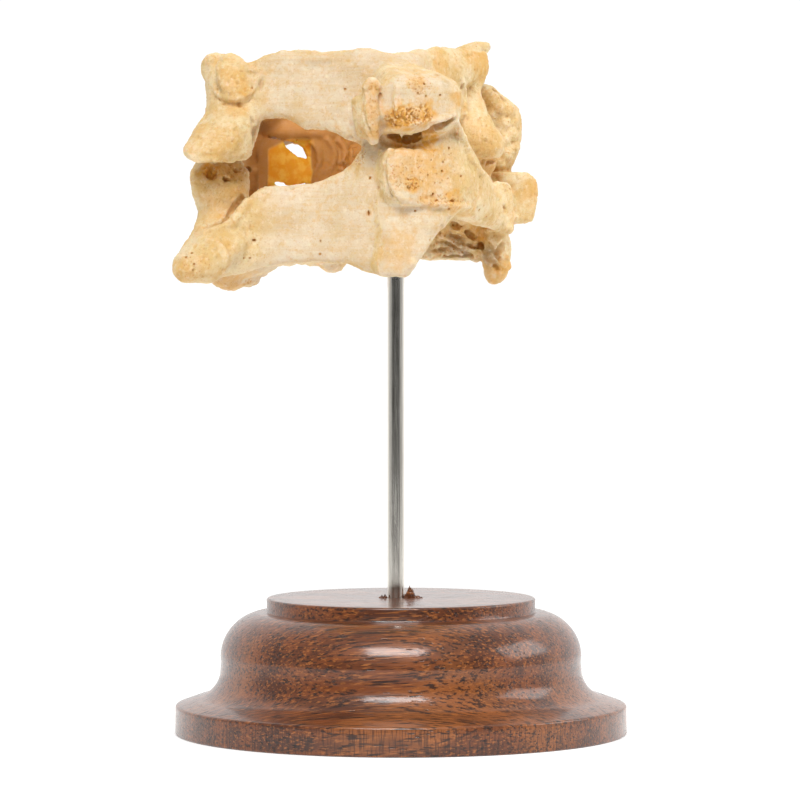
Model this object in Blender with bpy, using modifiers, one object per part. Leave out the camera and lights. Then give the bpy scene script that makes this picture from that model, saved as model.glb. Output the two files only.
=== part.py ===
# Two fused human cervical vertebrae on a steel rod in a turned wooden foot, at life size.
# Metres, +Z up, origin at the centre of the foot's underside. The bones are shaped in millimetres
# in their own frame: x to their right, y forward to the chest, z up from the joint between them.

import math

import bmesh
import bpy
import numpy as np
from mathutils import Matrix, Vector, noise

MM = 0.001
GAP = 0.3

# The foot: a thick rim, a cove, a quarter-round shoulder and a low step
FOOT_RADIUS = 31.75
FOOT_HEIGHT = 19.0
RIM_HEIGHT = 4.1
RIM_ROUNDING = 0.6
UNDERSIDE_BEVEL = 0.4
COVE_RADIUS = 4.2
COVE_CENTRE = (29.6, 9.1)
WAIST = (25.3, 10.0)
SHOULDER_ROUNDING = 6.4
SHOULDER_CENTRE = (19.0, 10.7)
STEP_RADIUS = 18.9
STEP_HEIGHT = 1.9
FOOT_STEPS = 60
# Wood torn up beside the rod: x, y, half width, half depth, height, and how far the tip leans
SPLINTERS = (
    (1.35, -0.3, 0.75, 0.35, 1.7, -0.3),
    (-2.5, -0.2, 0.45, 0.3, 0.7, 0.2),
    (2.6, -0.2, 0.6, 0.3, 0.5, -0.4),
)

# The rod
ROD_RADIUS = 1.19
ROD_X = -0.72
ROD_Y = 0.0
ROD_SINK = 11.0
ROD_SIDES = 24
ROD_CLEARANCE = 0.12
ROD_BEVEL = 0.2

# How the bones stand on the rod
YAW = 26.0
BONE_X = -8.0
BONE_Y = 14.9
BONE_Z = 80.0
ROD_TOP_IN_BONE = -9.5

# Sizes that both bones share
BODY_Y = 14.6
BODY_HALF_WIDTH = 9.2
BODY_HALF_DEPTH = 7.4
ARTERY_X = 14.8
ARTERY_Y = 9.8
ARTERY_RADIUS = 2.6
RIM_KNOBS = 9
FAR = 60.0

# How fine the fused surface is
VOXEL = 0.5
SMOOTHING = 4
LUMP_HEIGHT = 0.28
LUMP_LENGTH = 3.2
TRIANGLES_EACH = 5200

# Where each bone is parted into its named pieces: outlines in plan, with a thin cut between them
CUT = GAP / 2
KEEL_Y = -14.4
DEPTH_Y = 0.15
BODY_BACK_Y = 6.85
LAMINA_X = 13.15
BODY_SIDE_X = 11.65
FORAMEN_X = 16.15
PILLAR_FRONT_Y = 4.75

# Where a piece's outer end is parted from its pillar, on the right
UPPER_OUTER_X = 24.9
LOWER_OUTER_X = 26.2

# Colours of the photograph, as linear values
BONE_COLOUR = (0.76, 0.60, 0.38)
WOOD_COLOUR = (0.16, 0.055, 0.028)
STEEL_COLOUR = (0.56, 0.55, 0.53)


def catmull(a, b, c, d, t):
    """The point at t between b and c of the smooth curve through all four."""
    square, cube = 2 * a - 5 * b + 4 * c - d, 3 * b - a - 3 * c + d
    return 0.5 * (2 * b + (c - a) * t + square * t * t + cube * t**3)


def smooth_stations(stations, between):
    """The stations with more of them worked out between each pair."""
    rows = np.array(stations, float)
    padded = np.vstack([2 * rows[0] - rows[1], rows, 2 * rows[-1] - rows[-2]])
    made = []
    for i in range(len(rows) - 1):
        made += [catmull(*padded[i : i + 4], k / between) for k in range(between)]
    return made + [rows[-1]]


def oval(sides, squareness):
    """Points round a unit oval; squareness 2 is an ellipse, and more is squarer."""
    points = []
    for k in range(sides):
        angle = 2 * math.pi * k / sides
        c, s = math.cos(angle), math.sin(angle)
        power = 2 / squareness
        points.append((math.copysign(abs(c) ** power, c), math.copysign(abs(s) ** power, s)))
    return points


def add_loft(shape, rings):
    """Adds a closed body through rings of points, each ring with the same number."""
    loops = [[shape.verts.new(p) for p in ring] for ring in rings]
    faces = []
    for low, high in zip(loops, loops[1:]):
        for k in range(len(low)):
            nxt = (k + 1) % len(low)
            faces.append(shape.faces.new((low[k], low[nxt], high[nxt], high[k])))
    faces.append(shape.faces.new(reversed(loops[0])))
    faces.append(shape.faces.new(loops[-1]))
    bmesh.ops.recalc_face_normals(shape, faces=faces)


def add_column(shape, stations, squareness=2.4, sides=20, between=4):
    """An upright body. A station is x, y, z, half width, half depth and turn in degrees."""
    rings = []
    for x, y, z, width, depth, turn in smooth_stations(stations, between):
        c, s = math.cos(math.radians(turn)), math.sin(math.radians(turn))
        ring = []
        for u, v in oval(sides, squareness):
            u, v = u * max(width, 0.2), v * max(depth, 0.2)
            ring.append((x + u * c - v * s, y + u * s + v * c, z))
        rings.append(ring)
    add_loft(shape, rings)


def add_wall(shape, stations, squareness=2.3, sides=24, between=4):
    """A wall that runs through x, y from z low to z high. A station also has the wall's
    thickness, and how far its upper edge leans to the left of its way."""
    rows = smooth_stations(stations, between)
    rings = []
    for i, (x, y, low, high, thick, lean) in enumerate(rows):
        before, after = rows[max(i - 1, 0)], rows[min(i + 1, len(rows) - 1)]
        along = Vector((after[0] - before[0], after[1] - before[1])).normalized()
        left = Vector((-along.y, along.x))
        middle, half = (low + high) / 2, (high - low) / 2
        ring = []
        for u, v in oval(sides, squareness):
            aside = u * thick / 2 + lean * v / 2
            ring.append((x + left.x * aside, y + left.y * aside, middle + v * half))
        rings.append(ring)
    add_loft(shape, rings)


def add_strut(shape, stations, sides=14, between=4):
    """A round bar through x, y, z with its own radius at each station."""
    rows = smooth_stations(stations, between)
    rings = []
    side = None
    for i, (x, y, z, radius) in enumerate(rows):
        before, after = rows[max(i - 1, 0)], rows[min(i + 1, len(rows) - 1)]
        along = Vector(after[:3] - before[:3]).normalized()
        start = side if side else along.orthogonal()
        side = (start - along * start.dot(along)).normalized()
        other = along.cross(side)
        centre = Vector((x, y, z))
        rings.append([centre + (side * u + other * v) * radius for u, v in oval(sides, 2)])
    add_loft(shape, rings)


def add_ball(shape, centre, radii, turn=(0, 0, 0)):
    """An ellipsoid, with its turn about x, y and z in degrees."""
    rotation = Matrix.Identity(4)
    for angle, axis in zip(turn, "XYZ"):
        rotation = Matrix.Rotation(math.radians(angle), 4, axis) @ rotation
    placed = Matrix.Translation(centre) @ rotation @ Matrix.Diagonal((*radii, 1))
    bmesh.ops.create_icosphere(shape, subdivisions=3, radius=1, matrix=placed)


def add_body(shape, floor, top, lip, hook):
    """A vertebral body: waisted, with worn, knobbly rims, a low ridge down its front, a lip down
    at the front and hooks up at the sides."""
    wide, deep, y = BODY_HALF_WIDTH, BODY_HALF_DEPTH, BODY_Y
    tall = top - floor
    add_column(
        shape,
        [
            (0, y, floor, wide * 0.92, deep * 0.92, 0),
            (0, y, floor + 0.1 * tall, wide, deep * 1.02, 0),
            (0, y - 0.1, floor + 0.3 * tall, wide * 0.91, deep * 0.9, 0),
            (0, y - 0.3, floor + 0.52 * tall, wide * 0.86, deep * 0.82, 0),
            (0, y - 0.1, floor + 0.74 * tall, wide * 0.92, deep * 0.89, 0),
            (0, y, floor + 0.9 * tall, wide, deep * 0.98, 0),
            (0, y, top, wide * 0.92, deep * 0.86, 0),
        ],
        squareness=2.7,
    )
    front = y + 0.68 * deep
    ridge = [(0, front, floor + 1, 2.6, 1.4, 0), (0.3, front - 0.5, floor + tall / 2, 1.5, 1.4, 0)]
    add_column(shape, [*ridge, (0, front, top - 1, 2.6, 1.4, 0)])
    for k in range(RIM_KNOBS):
        angle = math.radians(10 + 160 * k / (RIM_KNOBS - 1))
        out = 0.87 + 0.05 * math.sin(2.3 * k)
        x, knob_y = wide * out * math.cos(angle), y + deep * out * math.sin(angle)
        size = 1.25 + 0.4 * math.sin(1.7 * k)
        add_ball(shape, (x, knob_y, floor + 0.09 * tall), (size * 1.3, size, size * 0.9))
        add_ball(shape, (x, knob_y, floor + 0.9 * tall), (size, size * 0.9, size * 0.8))
    add_wall(
        shape,
        [
            (-0.72 * wide, y + deep - 2.2, floor - 0.2, floor + 2.6, 2.2, 0),
            (0, y + deep - 0.8, floor - lip, floor + 2.6, 2.5, 0),
            (0.72 * wide, y + deep - 2.2, floor - 0.2, floor + 2.6, 2.2, 0),
        ],
    )
    for side in (-1, 1):
        add_wall(
            shape,
            [
                (side * (wide - 2.4), y - deep + 1.8, top - 3, top + 0.15 * hook, 1.8, 0),
                (side * (wide - 0.6), y - 1.7, top - 3, top + hook, 2.3, side * -1.4),
                (side * (wide - 1.5), y + deep - 4.4, top - 3, top + 0.3 * hook, 1.8, 0),
            ],
        )


def add_pedicle(shape, side, low, high):
    """The bar from a body's back corner out to its pillar, and the front bar round the foramen."""
    middle, half = (low + high) / 2, (high - low) / 2
    add_strut(
        shape,
        [
            (side * 6.5, 10.5, middle, half),
            (side * 11.0, 7.2, middle, half * 0.85),
            (side * 16.0, 2.2, middle, half),
        ],
    )


def add_transverse(shape, side, low, high, reach, back):
    """A transverse process: a thin front bar that ends in a tubercle, a back bar, and past the
    foramen a gutter with raised edges that joins them. One that stops short of the foramen's
    outer edge is broken off there."""
    middle, half = (low + high) / 2, (high - low) / 2
    broken = reach < ARTERY_X + 6
    tip = ARTERY_X - 1 if broken else ARTERY_X + 1.6
    add_strut(
        shape,
        [
            (side * 6.6, 14.6, middle, half * 0.85),
            (side * 10.4, 15.1, middle - 0.2, half * 0.55),
            (side * 13.0, 14.9, middle - 0.6, half * 0.48),
            (side * tip, 13.7, middle - 0.6, half * 0.62),
        ],
    )
    add_wall(
        shape,
        [
            (side * 17.0, 2.6, low + 0.5, high - 0.5, 3.0, 0),
            (side * (reach - 4.0), back, low, high, 3.0, 0),
            (side * reach, back + 1.5, low + 1.0, high - 1.0, 2.6, 0),
        ],
    )
    if broken:
        return
    add_ball(shape, (side * (tip + 0.5), 14.2, middle + 0.5), (1.9, 1.8, 2.5), (0, side * 20, 0))
    add_wall(
        shape,
        [
            (side * tip, 12.8, low + 0.6, low + 4.2, 3.4, 0),
            (side * (tip + 3.4), 10.6, low + 0.2, low + 3.4, 5.4, 0),
            (side * (reach - 4.4), 8.0, low + 0.2, low + 3.6, 6.0, 0),
            (side * (reach - 1.4), 6.0, low + 0.4, high - 2.4, 4.6, 0),
        ],
    )
    add_strut(
        shape,
        [
            (side * tip, 14.2, middle, 1.5),
            (side * (tip + 3.2), 12.8, low + 3.2, 1.1),
            (side * (reach - 3.4), 10.2, low + 3.6, 1.2),
            (side * (reach - 1.2), 7.6, middle, 1.7),
        ],
    )


def upper_bone(shape):
    """The upper vertebra, with the joint below it at z 0."""
    add_body(shape, floor=4.1, top=13.2, lip=0.3, hook=1.6)
    for side in (-1, 1):
        add_pedicle(shape, side, 6.4, 11.8)
    # Left pillar: the facet above, a waist, and the lobe that hangs over the joint
    add_column(
        shape,
        [
            (-18.0, 3.4, 15.7, 1.4, 1.0, 10),
            (-17.9, 2.4, 13.6, 2.9, 2.2, 10),
            (-17.6, 1.0, 10.5, 3.4, 3.6, 0),
            (-18.0, -0.9, 7.4, 3.8, 4.1, 0),
            (-19.9, -2.4, 4.4, 4.9, 3.9, 8),
            (-21.3, -3.5, 1.9, 5.5, 3.2, 10),
            (-21.6, -4.0, 0.5, 4.8, 2.1, 10),
        ],
    )
    add_ball(shape, (-18.1, -1.9, 12.2), (3.1, 4.2, 1.7), (60, 4, 6))
    add_ball(shape, (-19.4, 3.0, 13.9), (1.9, 2.0, 2.1))
    # Right pillar, with a longer beak
    add_column(
        shape,
        [
            (21.6, 2.4, 17.3, 1.7, 1.1, -25),
            (20.6, 1.8, 15.2, 3.0, 2.2, -25),
            (18.0, 0.4, 11.4, 3.0, 3.9, 0),
            (18.4, -1.2, 7.4, 3.4, 4.3, 0),
            (19.2, -2.8, 4.6, 4.1, 3.8, -8),
            (19.8, -3.6, 2.4, 3.8, 2.8, -10),
            (20.0, -3.8, 1.1, 2.8, 1.8, -10),
        ],
    )
    add_ball(shape, (18.4, -0.6, 13.6), (3.4, 4.4, 1.4), (48, -10, -10))
    add_strut(shape, [(16.5, 0.2, 15.4, 1.5), (20.3, 0.7, 16.9, 1.2), (24.0, 1.0, 17.8, 0.6)])
    # Laminae
    add_wall(
        shape,
        [
            (-17.5, -2.2, 6.2, 13.4, 3.0, 0.6),
            (-14.0, -3.9, 6.3, 15.5, 3.0, 0.8),
            (-11.5, -5.8, 6.3, 16.4, 2.8, 1.0),
            (-9.6, -7.3, 4.8, 16.2, 2.8, 1.0),
            (-6.8, -9.6, 4.3, 16.1, 2.8, 1.0),
            (-3.0, -12.8, 2.6, 16.3, 3.4, 0.6),
            (0.5, -13.6, 2.0, 15.7, 4.0, 0.2),
        ],
        squareness=2.8,
    )
    add_wall(
        shape,
        [
            (-0.5, -13.6, 2.0, 15.7, 4.0, 0.2),
            (3.4, -12.6, 2.6, 15.9, 3.6, 0.6),
            (8.6, -9.8, 4.5, 16.7, 3.0, 1.0),
            (13.4, -5.8, 6.0, 17.3, 3.0, 1.0),
            (17.5, -2.0, 6.2, 16.4, 3.0, 0.8),
        ],
        squareness=2.8,
    )
    add_wall(
        shape,
        [
            (10.0, -8.6, 10.8, 16.6, 3.0, 0.6),
            (14.5, -5.6, 11.4, 16.9, 3.2, 0.6),
            (18.6, -2.9, 12.0, 17.2, 3.0, 0.6),
            (21.8, -1.2, 13.4, 17.8, 2.2, 0.4),
        ],
    )
    # Spinous process, broken short, with a ridge down its left side
    add_wall(
        shape,
        [
            (1.6, -12.5, 3.4, 15.0, 7.6, 0),
            (2.0, -15.5, 3.6, 14.0, 10.0, 0),
            (2.4, -18.5, 3.9, 13.0, 12.0, 0),
            (2.6, -20.6, 4.4, 12.2, 12.0, 0),
            (2.7, -21.6, 5.2, 11.4, 10.6, 0),
        ],
        squareness=3.4,
    )
    add_strut(
        shape,
        [
            (-4.4, -17.6, 11.6, 0.7),
            (-5.1, -19.0, 10.2, 1.2),
            (-5.2, -19.4, 7.4, 1.25),
            (-4.9, -19.1, 4.4, 1.15),
            (-4.2, -18.3, 2.6, 0.8),
        ],
    )
    add_strut(shape, [(-4.6, -16.8, 9.4, 2.2), (-4.4, -17.0, 6.4, 2.3), (-3.8, -16.4, 3.8, 1.8)])
    # Transverse processes: the right one swells into a rough knuckle, the left one is a stub
    add_transverse(shape, 1, 2.6, 10.2, 28.5, 4.6)
    add_column(
        shape,
        [
            (24.7, 5.0, 12.5, 1.0, 1.2, 20),
            (25.6, 5.3, 11.0, 2.2, 2.2, 20),
            (27.2, 5.7, 9.2, 3.2, 2.9, 20),
            (27.7, 6.0, 7.4, 3.4, 3.2, 20),
            (27.8, 6.0, 4.4, 3.4, 3.3, 20),
            (27.4, 5.8, 1.8, 3.0, 3.0, 20),
            (26.9, 5.5, 0.0, 2.3, 2.4, 20),
            (26.3, 5.2, -1.8, 1.3, 1.4, 20),
        ],
    )
    add_transverse(shape, -1, 4.4, 9.4, 18.5, 4.4)


def lower_bone(shape):
    """The lower vertebra, with the joint above it at z 0."""
    add_body(shape, floor=-13.9, top=-3.2, lip=0.6, hook=3.2)
    for side in (-1, 1):
        add_pedicle(shape, side, -11.2, -5.4)
    # A lip of new bone that hangs from the body's lower left edge, and a chip at its right
    add_strut(
        shape,
        [
            (-13.6, 13.6, -14.6, 1.6),
            (-12.0, 15.6, -15.6, 2.3),
            (-8.2, 17.6, -15.4, 2.3),
            (-4.6, 19.2, -13.8, 1.8),
        ],
    )
    add_strut(shape, [(-13.2, 12.4, -13.0, 2.6), (-9.0, 14.0, -12.6, 3.2), (-5.0, 15.0, -12.4, 3.0)])
    add_ball(shape, (6.4, 18.4, -14.0), (2.0, 2.0, 1.3))
    # Left pillar, under the lobe of the upper bone, and its end knob
    add_column(
        shape,
        [
            (-18.6, 2.8, 1.4, 2.4, 1.4, 10),
            (-19.1, 1.7, -0.8, 4.2, 3.0, 10),
            (-19.1, 1.0, -3.6, 4.2, 3.5, 5),
            (-18.7, 0.7, -7.0, 3.6, 3.4, 0),
            (-20.4, -2.0, -10.4, 4.4, 4.6, 5),
            (-23.2, -3.6, -13.4, 5.0, 4.0, 10),
            (-24.6, -4.2, -15.4, 4.0, 3.0, 10),
            (-25.0, -4.4, -16.7, 2.4, 2.0, 10),
        ],
    )
    # Right pillar, squared off at its outer side, with a lobe that hangs from it
    add_column(
        shape,
        [
            (18.4, 2.8, 1.8, 2.4, 1.4, -10),
            (19.2, 1.6, -0.8, 4.0, 3.2, -10),
            (19.6, 0.6, -3.8, 4.4, 4.2, 0),
            (19.6, 1.0, -7.6, 4.4, 3.6, 0),
            (20.2, 1.6, -11.0, 4.2, 2.8, 0),
            (21.0, 1.8, -13.2, 3.6, 2.2, 0),
        ],
    )
    add_column(
        shape,
        [
            (23.9, -0.2, -7.2, 1.9, 3.2, -26),
            (24.0, -0.6, -10.6, 2.1, 3.9, -26),
            (24.1, -0.9, -13.4, 2.1, 3.5, -26),
            (23.8, -1.1, -15.6, 1.8, 2.6, -26),
            (23.4, -1.2, -17.0, 0.9, 1.3, -26),
        ],
    )
    add_wall(
        shape,
        [
            (8.6, 6.6, -12.4, -5.6, 4.0, 0),
            (12.6, 4.4, -13.2, -6.0, 4.4, 0),
            (17.0, 2.6, -13.6, -6.0, 4.6, 0),
            (22.0, 2.0, -13.4, -6.0, 4.0, 0),
        ],
        squareness=3,
    )
    # Laminae: the left one is whole, and the right one is bitten away below
    add_wall(
        shape,
        [
            (-23.5, -3.4, -16.2, -10.8, 4.4, 0),
            (-19.8, -3.8, -15.8, -7.6, 3.4, 0.4),
            (-15.8, -5.2, -14.9, -3.2, 3.0, 0.8),
            (-12.0, -6.6, -14.3, -3.0, 2.8, 0.9),
            (-8.0, -8.8, -13.9, -2.3, 2.8, 1.0),
            (-5.0, -11.2, -14.2, -0.2, 3.2, 1.0),
            (-2.4, -13.6, -15.5, 4.0, 4.0, 0.6),
            (0.6, -14.8, -15.4, 5.0, 4.6, 0.2),
        ],
        squareness=3,
    )
    add_wall(
        shape,
        [
            (-0.5, -14.8, -15.2, 4.6, 4.6, 0.2),
            (4.0, -16.4, -12.6, 5.4, 5.4, 0.4),
            (8.4, -16.2, -7.4, 6.6, 5.0, 0.6),
            (12.0, -13.2, -7.6, 2.6, 4.6, 0.8),
            (15.8, -9.2, -8.2, -1.2, 4.0, 0.6),
            (20.0, -6.2, -9.0, -2.2, 3.4, 0.2),
            (24.0, -4.6, -9.8, -2.3, 2.4, 0.0),
        ],
        squareness=2.8,
    )
    add_strut(shape, [(16.0, -4.0, -4.8, 2.8), (19.6, -2.0, -5.0, 3.0)])
    add_wall(
        shape,
        [
            (4.5, -17.0, -6.2, 3.0, 5.0, 0),
            (8.6, -15.9, -6.4, 5.4, 5.0, 0.6),
            (12.2, -13.4, -7.0, 3.2, 4.8, 0.8),
            (15.4, -10.4, -7.4, 0.4, 4.0, 0.6),
            (18.8, -7.6, -8.0, -1.6, 3.2, 0.2),
        ],
        squareness=2.8,
    )
    # Spinous process: a broken root above a keel that takes the rod
    add_wall(
        shape,
        [
            (2.6, -13.4, -6.4, 3.0, 10.0, 0),
            (3.0, -16.4, -6.2, 2.6, 12.0, 0),
            (3.4, -18.4, -5.9, 2.2, 12.4, 0),
            (3.6, -19.6, -5.4, 1.7, 11.6, 0),
        ],
        squareness=3.6,
    )
    add_column(
        shape,
        [
            (2.2, -14.6, -2.0, 5.0, 3.2, 0),
            (2.4, -15.6, -6.0, 5.4, 3.0, 0),
            (1.8, -16.0, -9.5, 4.6, 2.9, 0),
            (0.4, -16.4, -13.0, 3.5, 2.6, 0),
            (-0.3, -16.5, -14.8, 2.8, 2.4, 0),
            (-0.6, -16.6, -15.9, 2.0, 2.0, 0),
        ],
    )
    # Transverse processes: the right one ends in a squared stub, the left one is broken off
    add_transverse(shape, 1, -12.2, -5.4, 27.5, 3.6)
    add_column(
        shape,
        [
            (28.2, 3.0, -0.6, 2.4, 2.2, 0),
            (28.5, 3.0, -1.8, 3.1, 2.7, 0),
            (28.5, 3.0, -4.4, 3.1, 2.7, 0),
            (28.3, 3.0, -7.2, 2.7, 2.5, 0),
            (28.2, 3.0, -8.0, 2.3, 2.1, 0),
        ],
        squareness=5,
    )
    add_strut(shape, [(20.0, 1.5, -4.4, 3.2), (25.0, 2.6, -4.6, 3.3), (28.6, 3.0, -4.6, 2.8)])
    add_transverse(shape, -1, -11.4, -6.2, 18.0, 4.4)
    # New bone that fills the right half of the disc space and runs over its front, and the
    # right joint
    add_column(
        shape,
        [
            (4.6, 13.9, -5.8, 3.7, 6.2, -26),
            (4.6, 13.9, -1.4, 3.8, 6.4, -26),
            (5.2, 13.9, 2.2, 3.9, 6.5, -26),
            (5.3, 13.9, 6.6, 3.9, 6.4, -26),
        ],
        squareness=3.0,
    )
    add_column(
        shape,
        [
            (6.6, 11.8, -5.6, 3.4, 4.3, 0),
            (6.8, 11.8, 0.4, 3.2, 4.2, 0),
            (6.6, 11.8, 6.4, 3.4, 4.3, 0),
        ],
    )
    add_strut(
        shape,
        [
            (6.0, 19.2, -7.2, 1.2),
            (6.8, 20.3, -2.0, 1.7),
            (6.6, 20.2, 2.6, 1.5),
            (6.0, 19.4, 7.6, 1.1),
        ],
    )
    add_strut(
        shape,
        [
            (8.4, 16.2, -6.8, 1.4),
            (9.6, 17.0, -1.4, 1.8),
            (9.3, 16.8, 3.0, 1.6),
            (8.6, 16.2, 7.8, 1.3),
        ],
    )
    add_column(
        shape,
        [
            (0.8, 9.6, -5.0, 2.4, 2.0, 0),
            (1.0, 9.4, 0.4, 2.0, 1.5, 0),
            (0.9, 9.6, 5.4, 2.4, 2.0, 0),
        ],
    )
    add_ball(shape, (20.0, -0.6, 1.4), (4.0, 3.4, 3.4))
    # The root of the thin plate, at the side of the open half of the disc space, and the plate
    add_strut(shape, [(-9.4, 12.4, -4.0, 1.8), (-9.9, 11.6, 0.4, 1.6), (-9.4, 11.2, 5.0, 1.8)])
    thin_plate(shape)


def thin_plate(shape):
    """A plate of new bone, thin enough for light to pass, that stands in the open half of the
    disc space, with a gap over its right end and two slits under it."""
    add_wall(
        shape,
        [
            (-9.2, 10.2, -4.0, 4.6, 1.6, 0),
            (-8.0, 9.8, -2.6, 3.9, 1.2, 0),
            (-6.6, 9.5, -2.2, 3.6, 1.1, 0),
            (-5.2, 9.4, -2.5, 2.5, 1.1, 0),
            (-3.8, 9.4, -2.7, 1.6, 1.1, 0),
            (-2.4, 9.4, -2.4, 1.5, 1.1, 0),
            (-1.0, 9.5, -2.6, 2.1, 1.1, 0),
            (0.2, 9.7, -3.4, 3.4, 1.4, 0),
        ],
        squareness=3.4,
    )


def canal(shape):
    """The hole for the spinal cord, and the two for the vertebral arteries."""
    add_column(
        shape,
        [(0, -0.8, -FAR / 2, 11.4, 7.5, 0), (0, -0.8, FAR / 2, 11.4, 7.5, 0)],
        squareness=2.6,
        between=1,
    )
    for side in (-1, 1):
        x, y = side * ARTERY_X, ARTERY_Y
        add_column(
            shape,
            [(x, y, end, ARTERY_RADIUS, ARTERY_RADIUS, 0) for end in (-FAR / 2, FAR / 2)],
            squareness=2,
            sides=16,
            between=1,
        )


def upper_breaks(shape):
    """What is broken or worn away from the upper bone."""
    add_strut(shape, [(-3.2, -22.6, 12.6, 0.9), (-3.5, -21.2, 9.4, 0.9), (-3.3, -21.4, 6.0, 0.7)], sides=10)
    add_ball(shape, (0, BODY_Y, 19.2), (BODY_HALF_WIDTH - 1.6, BODY_HALF_DEPTH - 1.0, 6.8))
    add_strut(shape, [(9.6, -20.6, 11.2, 0.5), (9.3, -17.0, 9.4, 0.6), (9.4, -16.4, 7.0, 0.5)], sides=8)
    add_ball(shape, (19.6, -1.8, 17.0), (3.4, 1.0, 0.7), (0, -14, 20))


def lower_breaks(shape):
    """What is broken or worn away from the lower bone."""
    add_strut(shape, [(-2.4, -21.8, -6.6, 0.7), (3.4, -21.0, -6.9, 0.8), (9.4, -19.4, -7.2, 0.7)], sides=10)
    add_ball(shape, (17.6, -3.2, -11.6), (5.2, 3.0, 2.4), (0, 8, -20))
    add_ball(shape, (0, BODY_Y - 0.6, -19.4), (BODY_HALF_WIDTH - 1.8, BODY_HALF_DEPTH - 1.4, 6.4))
    add_ball(shape, (-21.6, -4.4, -1.4), (1.0, 1.4, 1.2))
    add_ball(shape, (-17.2, -4.4, -3.2), (1.2, 1.2, 0.9))


def object_from(name, shape, collection):
    """An object that holds what a bmesh holds. Meshes are in millimetres until the very end."""
    mesh = bpy.data.meshes.new(name)
    shape.to_mesh(mesh)
    shape.free()
    made = bpy.data.objects.new(name, mesh)
    collection.objects.link(made)
    return made


def applied(thing):
    """Swaps an object's mesh for the one that its modifiers make."""
    graph = bpy.context.evaluated_depsgraph_get()
    made = bpy.data.meshes.new_from_object(thing.evaluated_get(graph))
    thing.modifiers.clear()
    old = thing.data
    thing.data = made
    bpy.data.meshes.remove(old)


def boolean(thing, other, operation):
    """Cuts or joins thing with other, and applies it."""
    cut = thing.modifiers.new("boolean", "BOOLEAN")
    cut.operation = operation
    cut.object = other
    cut.solver = "EXACT"
    applied(thing)


def keep_largest(thing):
    """Drops every closed surface of a mesh but the one with the most volume."""
    shape = bmesh.new()
    shape.from_mesh(thing.data)
    unseen = set(shape.faces)
    groups = []
    while unseen:
        group, edge = set(), [unseen.pop()]
        while edge:
            face = edge.pop()
            group.add(face)
            for side in face.edges:
                for other in side.link_faces:
                    if other in unseen:
                        unseen.discard(other)
                        edge.append(other)
        groups.append(group)

    def volume(group):
        return abs(sum(f.calc_center_median().dot(f.normal) * f.calc_area() for f in group))

    groups.sort(key=volume)
    for group in groups[:-1]:
        bmesh.ops.delete(shape, geom=list(group), context="FACES")
    loose = [v for v in shape.verts if not v.link_faces]
    bmesh.ops.delete(shape, geom=loose, context="VERTS")
    bmesh.ops.triangulate(shape, faces=shape.faces)
    shape.to_mesh(thing.data)
    shape.free()


def lump(mesh):
    """Gives a mesh the low, uneven swell of real bone."""
    for vertex, normal in zip(mesh.vertices, [n.vector.copy() for n in mesh.vertex_normals]):
        rise = noise.fractal(vertex.co / LUMP_LENGTH, 1.0, 2.0, 3)
        vertex.co += normal * rise * LUMP_HEIGHT


def skinned(thing):
    """Puts one closed skin over everything in a mesh, once its modifiers are applied."""
    skin = thing.modifiers.new("skin", "REMESH")
    skin.mode = "VOXEL"
    skin.voxel_size = VOXEL


def fused_bone(name, shape, collection):
    """One skin over overlapping bodies, smoothed where they meet."""
    bone = object_from(name, shape, collection)
    skinned(bone)
    smooth = bone.modifiers.new("smooth", "SMOOTH")
    smooth.factor = 0.5
    smooth.iterations = SMOOTHING
    applied(bone)
    lump(bone.data)
    return bone


def thinned(bone, triangles):
    """Takes triangles out where the surface is flattest."""
    shape = bmesh.new()
    shape.from_mesh(bone.data)
    bmesh.ops.triangulate(shape, faces=shape.faces)
    shape.to_mesh(bone.data)
    shape.free()
    fewer = bone.modifiers.new("thin", "DECIMATE")
    fewer.ratio = min(1, triangles / len(bone.data.polygons))
    applied(bone)


def swollen(bone, by, collection):
    """A copy of a bone with every point moved out by a distance, for cutting its neighbour clear."""
    copy = bpy.data.objects.new(bone.name + "_swollen", bone.data.copy())
    collection.objects.link(copy)
    normals = [n.vector.copy() for n in copy.data.vertex_normals]
    for vertex, normal in zip(copy.data.vertices, normals):
        vertex.co += normal * by
    skinned(copy)
    applied(copy)
    return copy


def side_outlines(side, outer):
    """The outlines of one side's lamina, pillar and transverse process; outer parts the last two."""
    lamina = [(0, KEEL_Y), (LAMINA_X, KEEL_Y), (LAMINA_X, DEPTH_Y), (0, DEPTH_Y)]
    pillar = [
        (LAMINA_X, -FAR),
        (outer, -FAR),
        (outer, PILLAR_FRONT_Y),
        (FORAMEN_X, PILLAR_FRONT_Y),
        (FORAMEN_X, BODY_BACK_Y),
        (4, BODY_BACK_Y),
        (4, DEPTH_Y),
        (LAMINA_X, DEPTH_Y),
    ]
    transverse = [
        (outer, -FAR),
        (FAR, -FAR),
        (FAR, FAR),
        (BODY_SIDE_X, FAR),
        (BODY_SIDE_X, BODY_BACK_Y),
        (FORAMEN_X, BODY_BACK_Y),
        (FORAMEN_X, PILLAR_FRONT_Y),
        (outer, PILLAR_FRONT_Y),
    ]
    return [[(side * x, y) for x, y in outline] for outline in (lamina, pillar, transverse)]


def rectangle(half_width, back, front):
    """An outline in plan that is the same to the left and right of the middle."""
    return [(-half_width, back), (half_width, back), (half_width, front), (-half_width, front)]


def outlines(outer_right):
    """Every named piece of one bone, and its outline in plan."""
    left = side_outlines(-1, FAR / 2)
    right = side_outlines(1, outer_right)
    return {
        "body": rectangle(BODY_SIDE_X, BODY_BACK_Y, FAR),
        "spinous": rectangle(LAMINA_X, -FAR, KEEL_Y),
        "lamina_left": left[0],
        "pillar_left": left[1],
        "transverse_left": left[2],
        "lamina_right": right[0],
        "pillar_right": right[1],
        "transverse_right": right[2],
    }


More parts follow.
